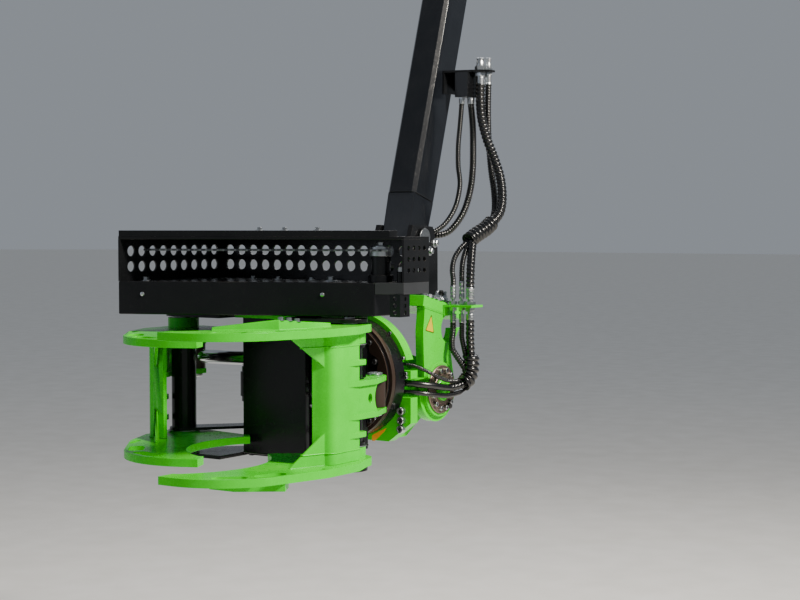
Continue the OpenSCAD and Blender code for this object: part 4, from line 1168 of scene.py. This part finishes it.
class FELLING_OT_cylinder_trim(bpy.types.Operator):
    """Fits glands, wipers and port blocks to the two cylinders"""

    bl_idname = "felling.cylinder_trim"
    bl_label = "Cylinder trim"

    def execute(self, context):
        # side, pin of the barrel, pin of the rod, height; the body follows from the side
        for side, base, eye, z in (("right", (-260, 235), (450, 185), -13),
                                   ("left", (260, 235), (-528, 168), 104)):
            d = Vector((eye[0] - base[0], eye[1] - base[1], 0)).normalized()
            at = Vector((base[0], base[1], z))
            over = Vector((0, 0, -1 if side == "right" else 1))
            bm = bmesh.new()
            lathe(bm, at + d * 372, d, [(56.5, 0), (60, 1), (60, 26), (58, 28), (40, 28.5), (38, 34),
                                        (31.5, 34), (31.5, 28), (56.5, 0)], 48)
            lathe(bm, at + d * 74, d, [(55, 0), (59, 2), (59, 8), (55, 10), (55, 0)], 48)
            for run in (96, 352):
                lathe(bm, at + d * run + over * 53, over, [(0, 0), (16, 0), (16, 14), (14, 16), (0, 16)], 24)
            finish_mesh(bm, "gland_" + side, "black_topcoat", "barrel_" + side, on_head())
            bm = bmesh.new()
            for run in (96, 352):
                hexagon(bm, at + d * run + over * 69, over, 22, 9)
                lathe(bm, at + d * run + over * 78, over, [(0, 0), (9, 0), (9, 3), (7, 4), (0, 4)], 20)
            finish_mesh(bm, "ports_" + side, "zinc_plate", "barrel_" + side, on_head())
        return {"FINISHED"}


class FELLING_OT_bent_bracket(bpy.types.Operator):
    """Bends the perforated bracket under the guard's corner"""

    bl_idname = "felling.bent_bracket"
    bl_label = "Bent bracket"

    def execute(self, context):
        # name, corner, width, place of the holes across it, and the way it faces
        for name, corner, wide, mid, facing in (
            ("bracket_front", (618, 55, 321), 51, 26, FACE_FRONT),
            ("bracket_side", (663, 55.2, 321), 63.8, 30, FACE_RIGHT),
        ):
            plate = cut_plate([(0, 0), (wide, 0), (wide, 92), (0, 92)],
                              [disc(mid, 18 + 28 * k, 9.5) for k in range(3)], 6, name, "black_topcoat",
                              "head", Matrix.Translation(at_head(*corner)) @ facing)
            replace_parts(plate, "perforated_bracket")
        return {"FINISHED"}


class FELLING_OT_valves(bpy.types.Operator):
    """Makes the valve block on the slab, with its cartridges, plugs and ports"""

    bl_idname = "felling.valves"
    bl_label = "Valves"

    def execute(self, context):
        bm = bmesh.new()
        box_mesh(bm, (227, -33, 403), (272, 43, 436), 3)
        union_nut(bm, (243, -14, 436), (0, 0, 1), 24, 12)
        lathe(bm, (243, -14, 448), (0, 0, 1), [(0, 0), (8, 0), (8, 8), (6, 11), (0, 11)], 20)
        union_nut(bm, (262, 24, 436), (0, 0, 1), 20, 10)
        ferrule(bm, (262, 24, 446), (0, 0, 1), 8, 17)
        for y, z in ((-16, 418), (8, 420), (30, 418)):
            union_nut(bm, (272, y, z), (1, 0, 0), 19, 9)
            lathe(bm, (281, y, z), (1, 0, 0), [(0, 0), (6, 0), (6, 4), (4, 6), (0, 6)], 16)
        block = finish_mesh(bm, "valve_body", "zinc_plate", "stick", on_hanger())
        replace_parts(block, "valve_block")
        bm = bmesh.new()
        lathe(bm, (243, 18, 436), (0, 0, 1), [(0, 0), (12, 0), (12, 20), (10, 23), (0, 23)], 24)
        lathe(bm, (264, -14, 436), (0, 0, 1),
              [(0, 0), (7, 0), (7, 14), (10, 15), (10, 22), (8, 25), (0, 25)], 24)
        finish_mesh(bm, "valve_coils", "hose_rubber", "stick", on_hanger())
        return {"FINISHED"}


class FELLING_OT_hanger_trim(bpy.types.Operator):
    """Locks the hanger's pins and bolts its cheeks"""

    bl_idname = "felling.hanger_trim"
    bl_label = "Hanger trim"

    def execute(self, context):
        bm = bmesh.new()
        for x, y, z in ((106, 1184, 610), (106, 1140, 571.5)):
            for side in (-1, 1):
                bolt(bm, (side * x, y, z), (side, 0, 0), 24)
        finish_mesh(bm, "hanger_bolts", "zinc_plate", "stick", on_head())
        return {"FINISHED"}


OPERATORS = (
    FELLING_OT_camera,
    FELLING_OT_hoses,
    FELLING_OT_hose_ends,
    FELLING_OT_plates,
    FELLING_OT_welds,
    FELLING_OT_ring_screws,
    FELLING_OT_adapter_trim,
    FELLING_OT_films,
    FELLING_OT_arms_trim,
    FELLING_OT_saw_trim,
    FELLING_OT_cylinder_trim,
    FELLING_OT_hanger_trim,
    FELLING_OT_bent_bracket,
    FELLING_OT_valves,
    FELLING_OT_stage,
)


class FELLING_PT_head(bpy.types.Panel):
    """Shows the felling head's sizes and paints, and a button for each of its operators"""

    bl_idname = "FELLING_PT_head"
    bl_label = "Felling Head"
    bl_space_type = "VIEW_3D"
    bl_region_type = "UI"
    bl_category = "Felling Head"

    def draw(self, context):
        for group in (context.scene.felling_sizes, context.scene.felling_paints):
            for name in group.bl_rna.properties.keys():
                if name not in ("rna_type", "name"):
                    self.layout.prop(group, name)
        for op in OPERATORS:
            self.layout.operator(op.bl_idname)


CLASSES = (FELLING_HeadSizes, FELLING_HeadPaints, *OPERATORS, FELLING_PT_head)


def register():
    for c in CLASSES:
        bpy.utils.register_class(c)
    bpy.types.Scene.felling_sizes = bpy.props.PointerProperty(type=FELLING_HeadSizes)
    bpy.types.Scene.felling_paints = bpy.props.PointerProperty(type=FELLING_HeadPaints)


def unregister():
    del bpy.types.Scene.felling_sizes
    del bpy.types.Scene.felling_paints
    for c in reversed(CLASSES):
        bpy.utils.unregister_class(c)


def main():
    register()
    make_materials()
    for op in OPERATORS:
        group, name = op.bl_idname.split(".")
        getattr(getattr(bpy.ops, group), name)()


if __name__ == "__main__":
    main()
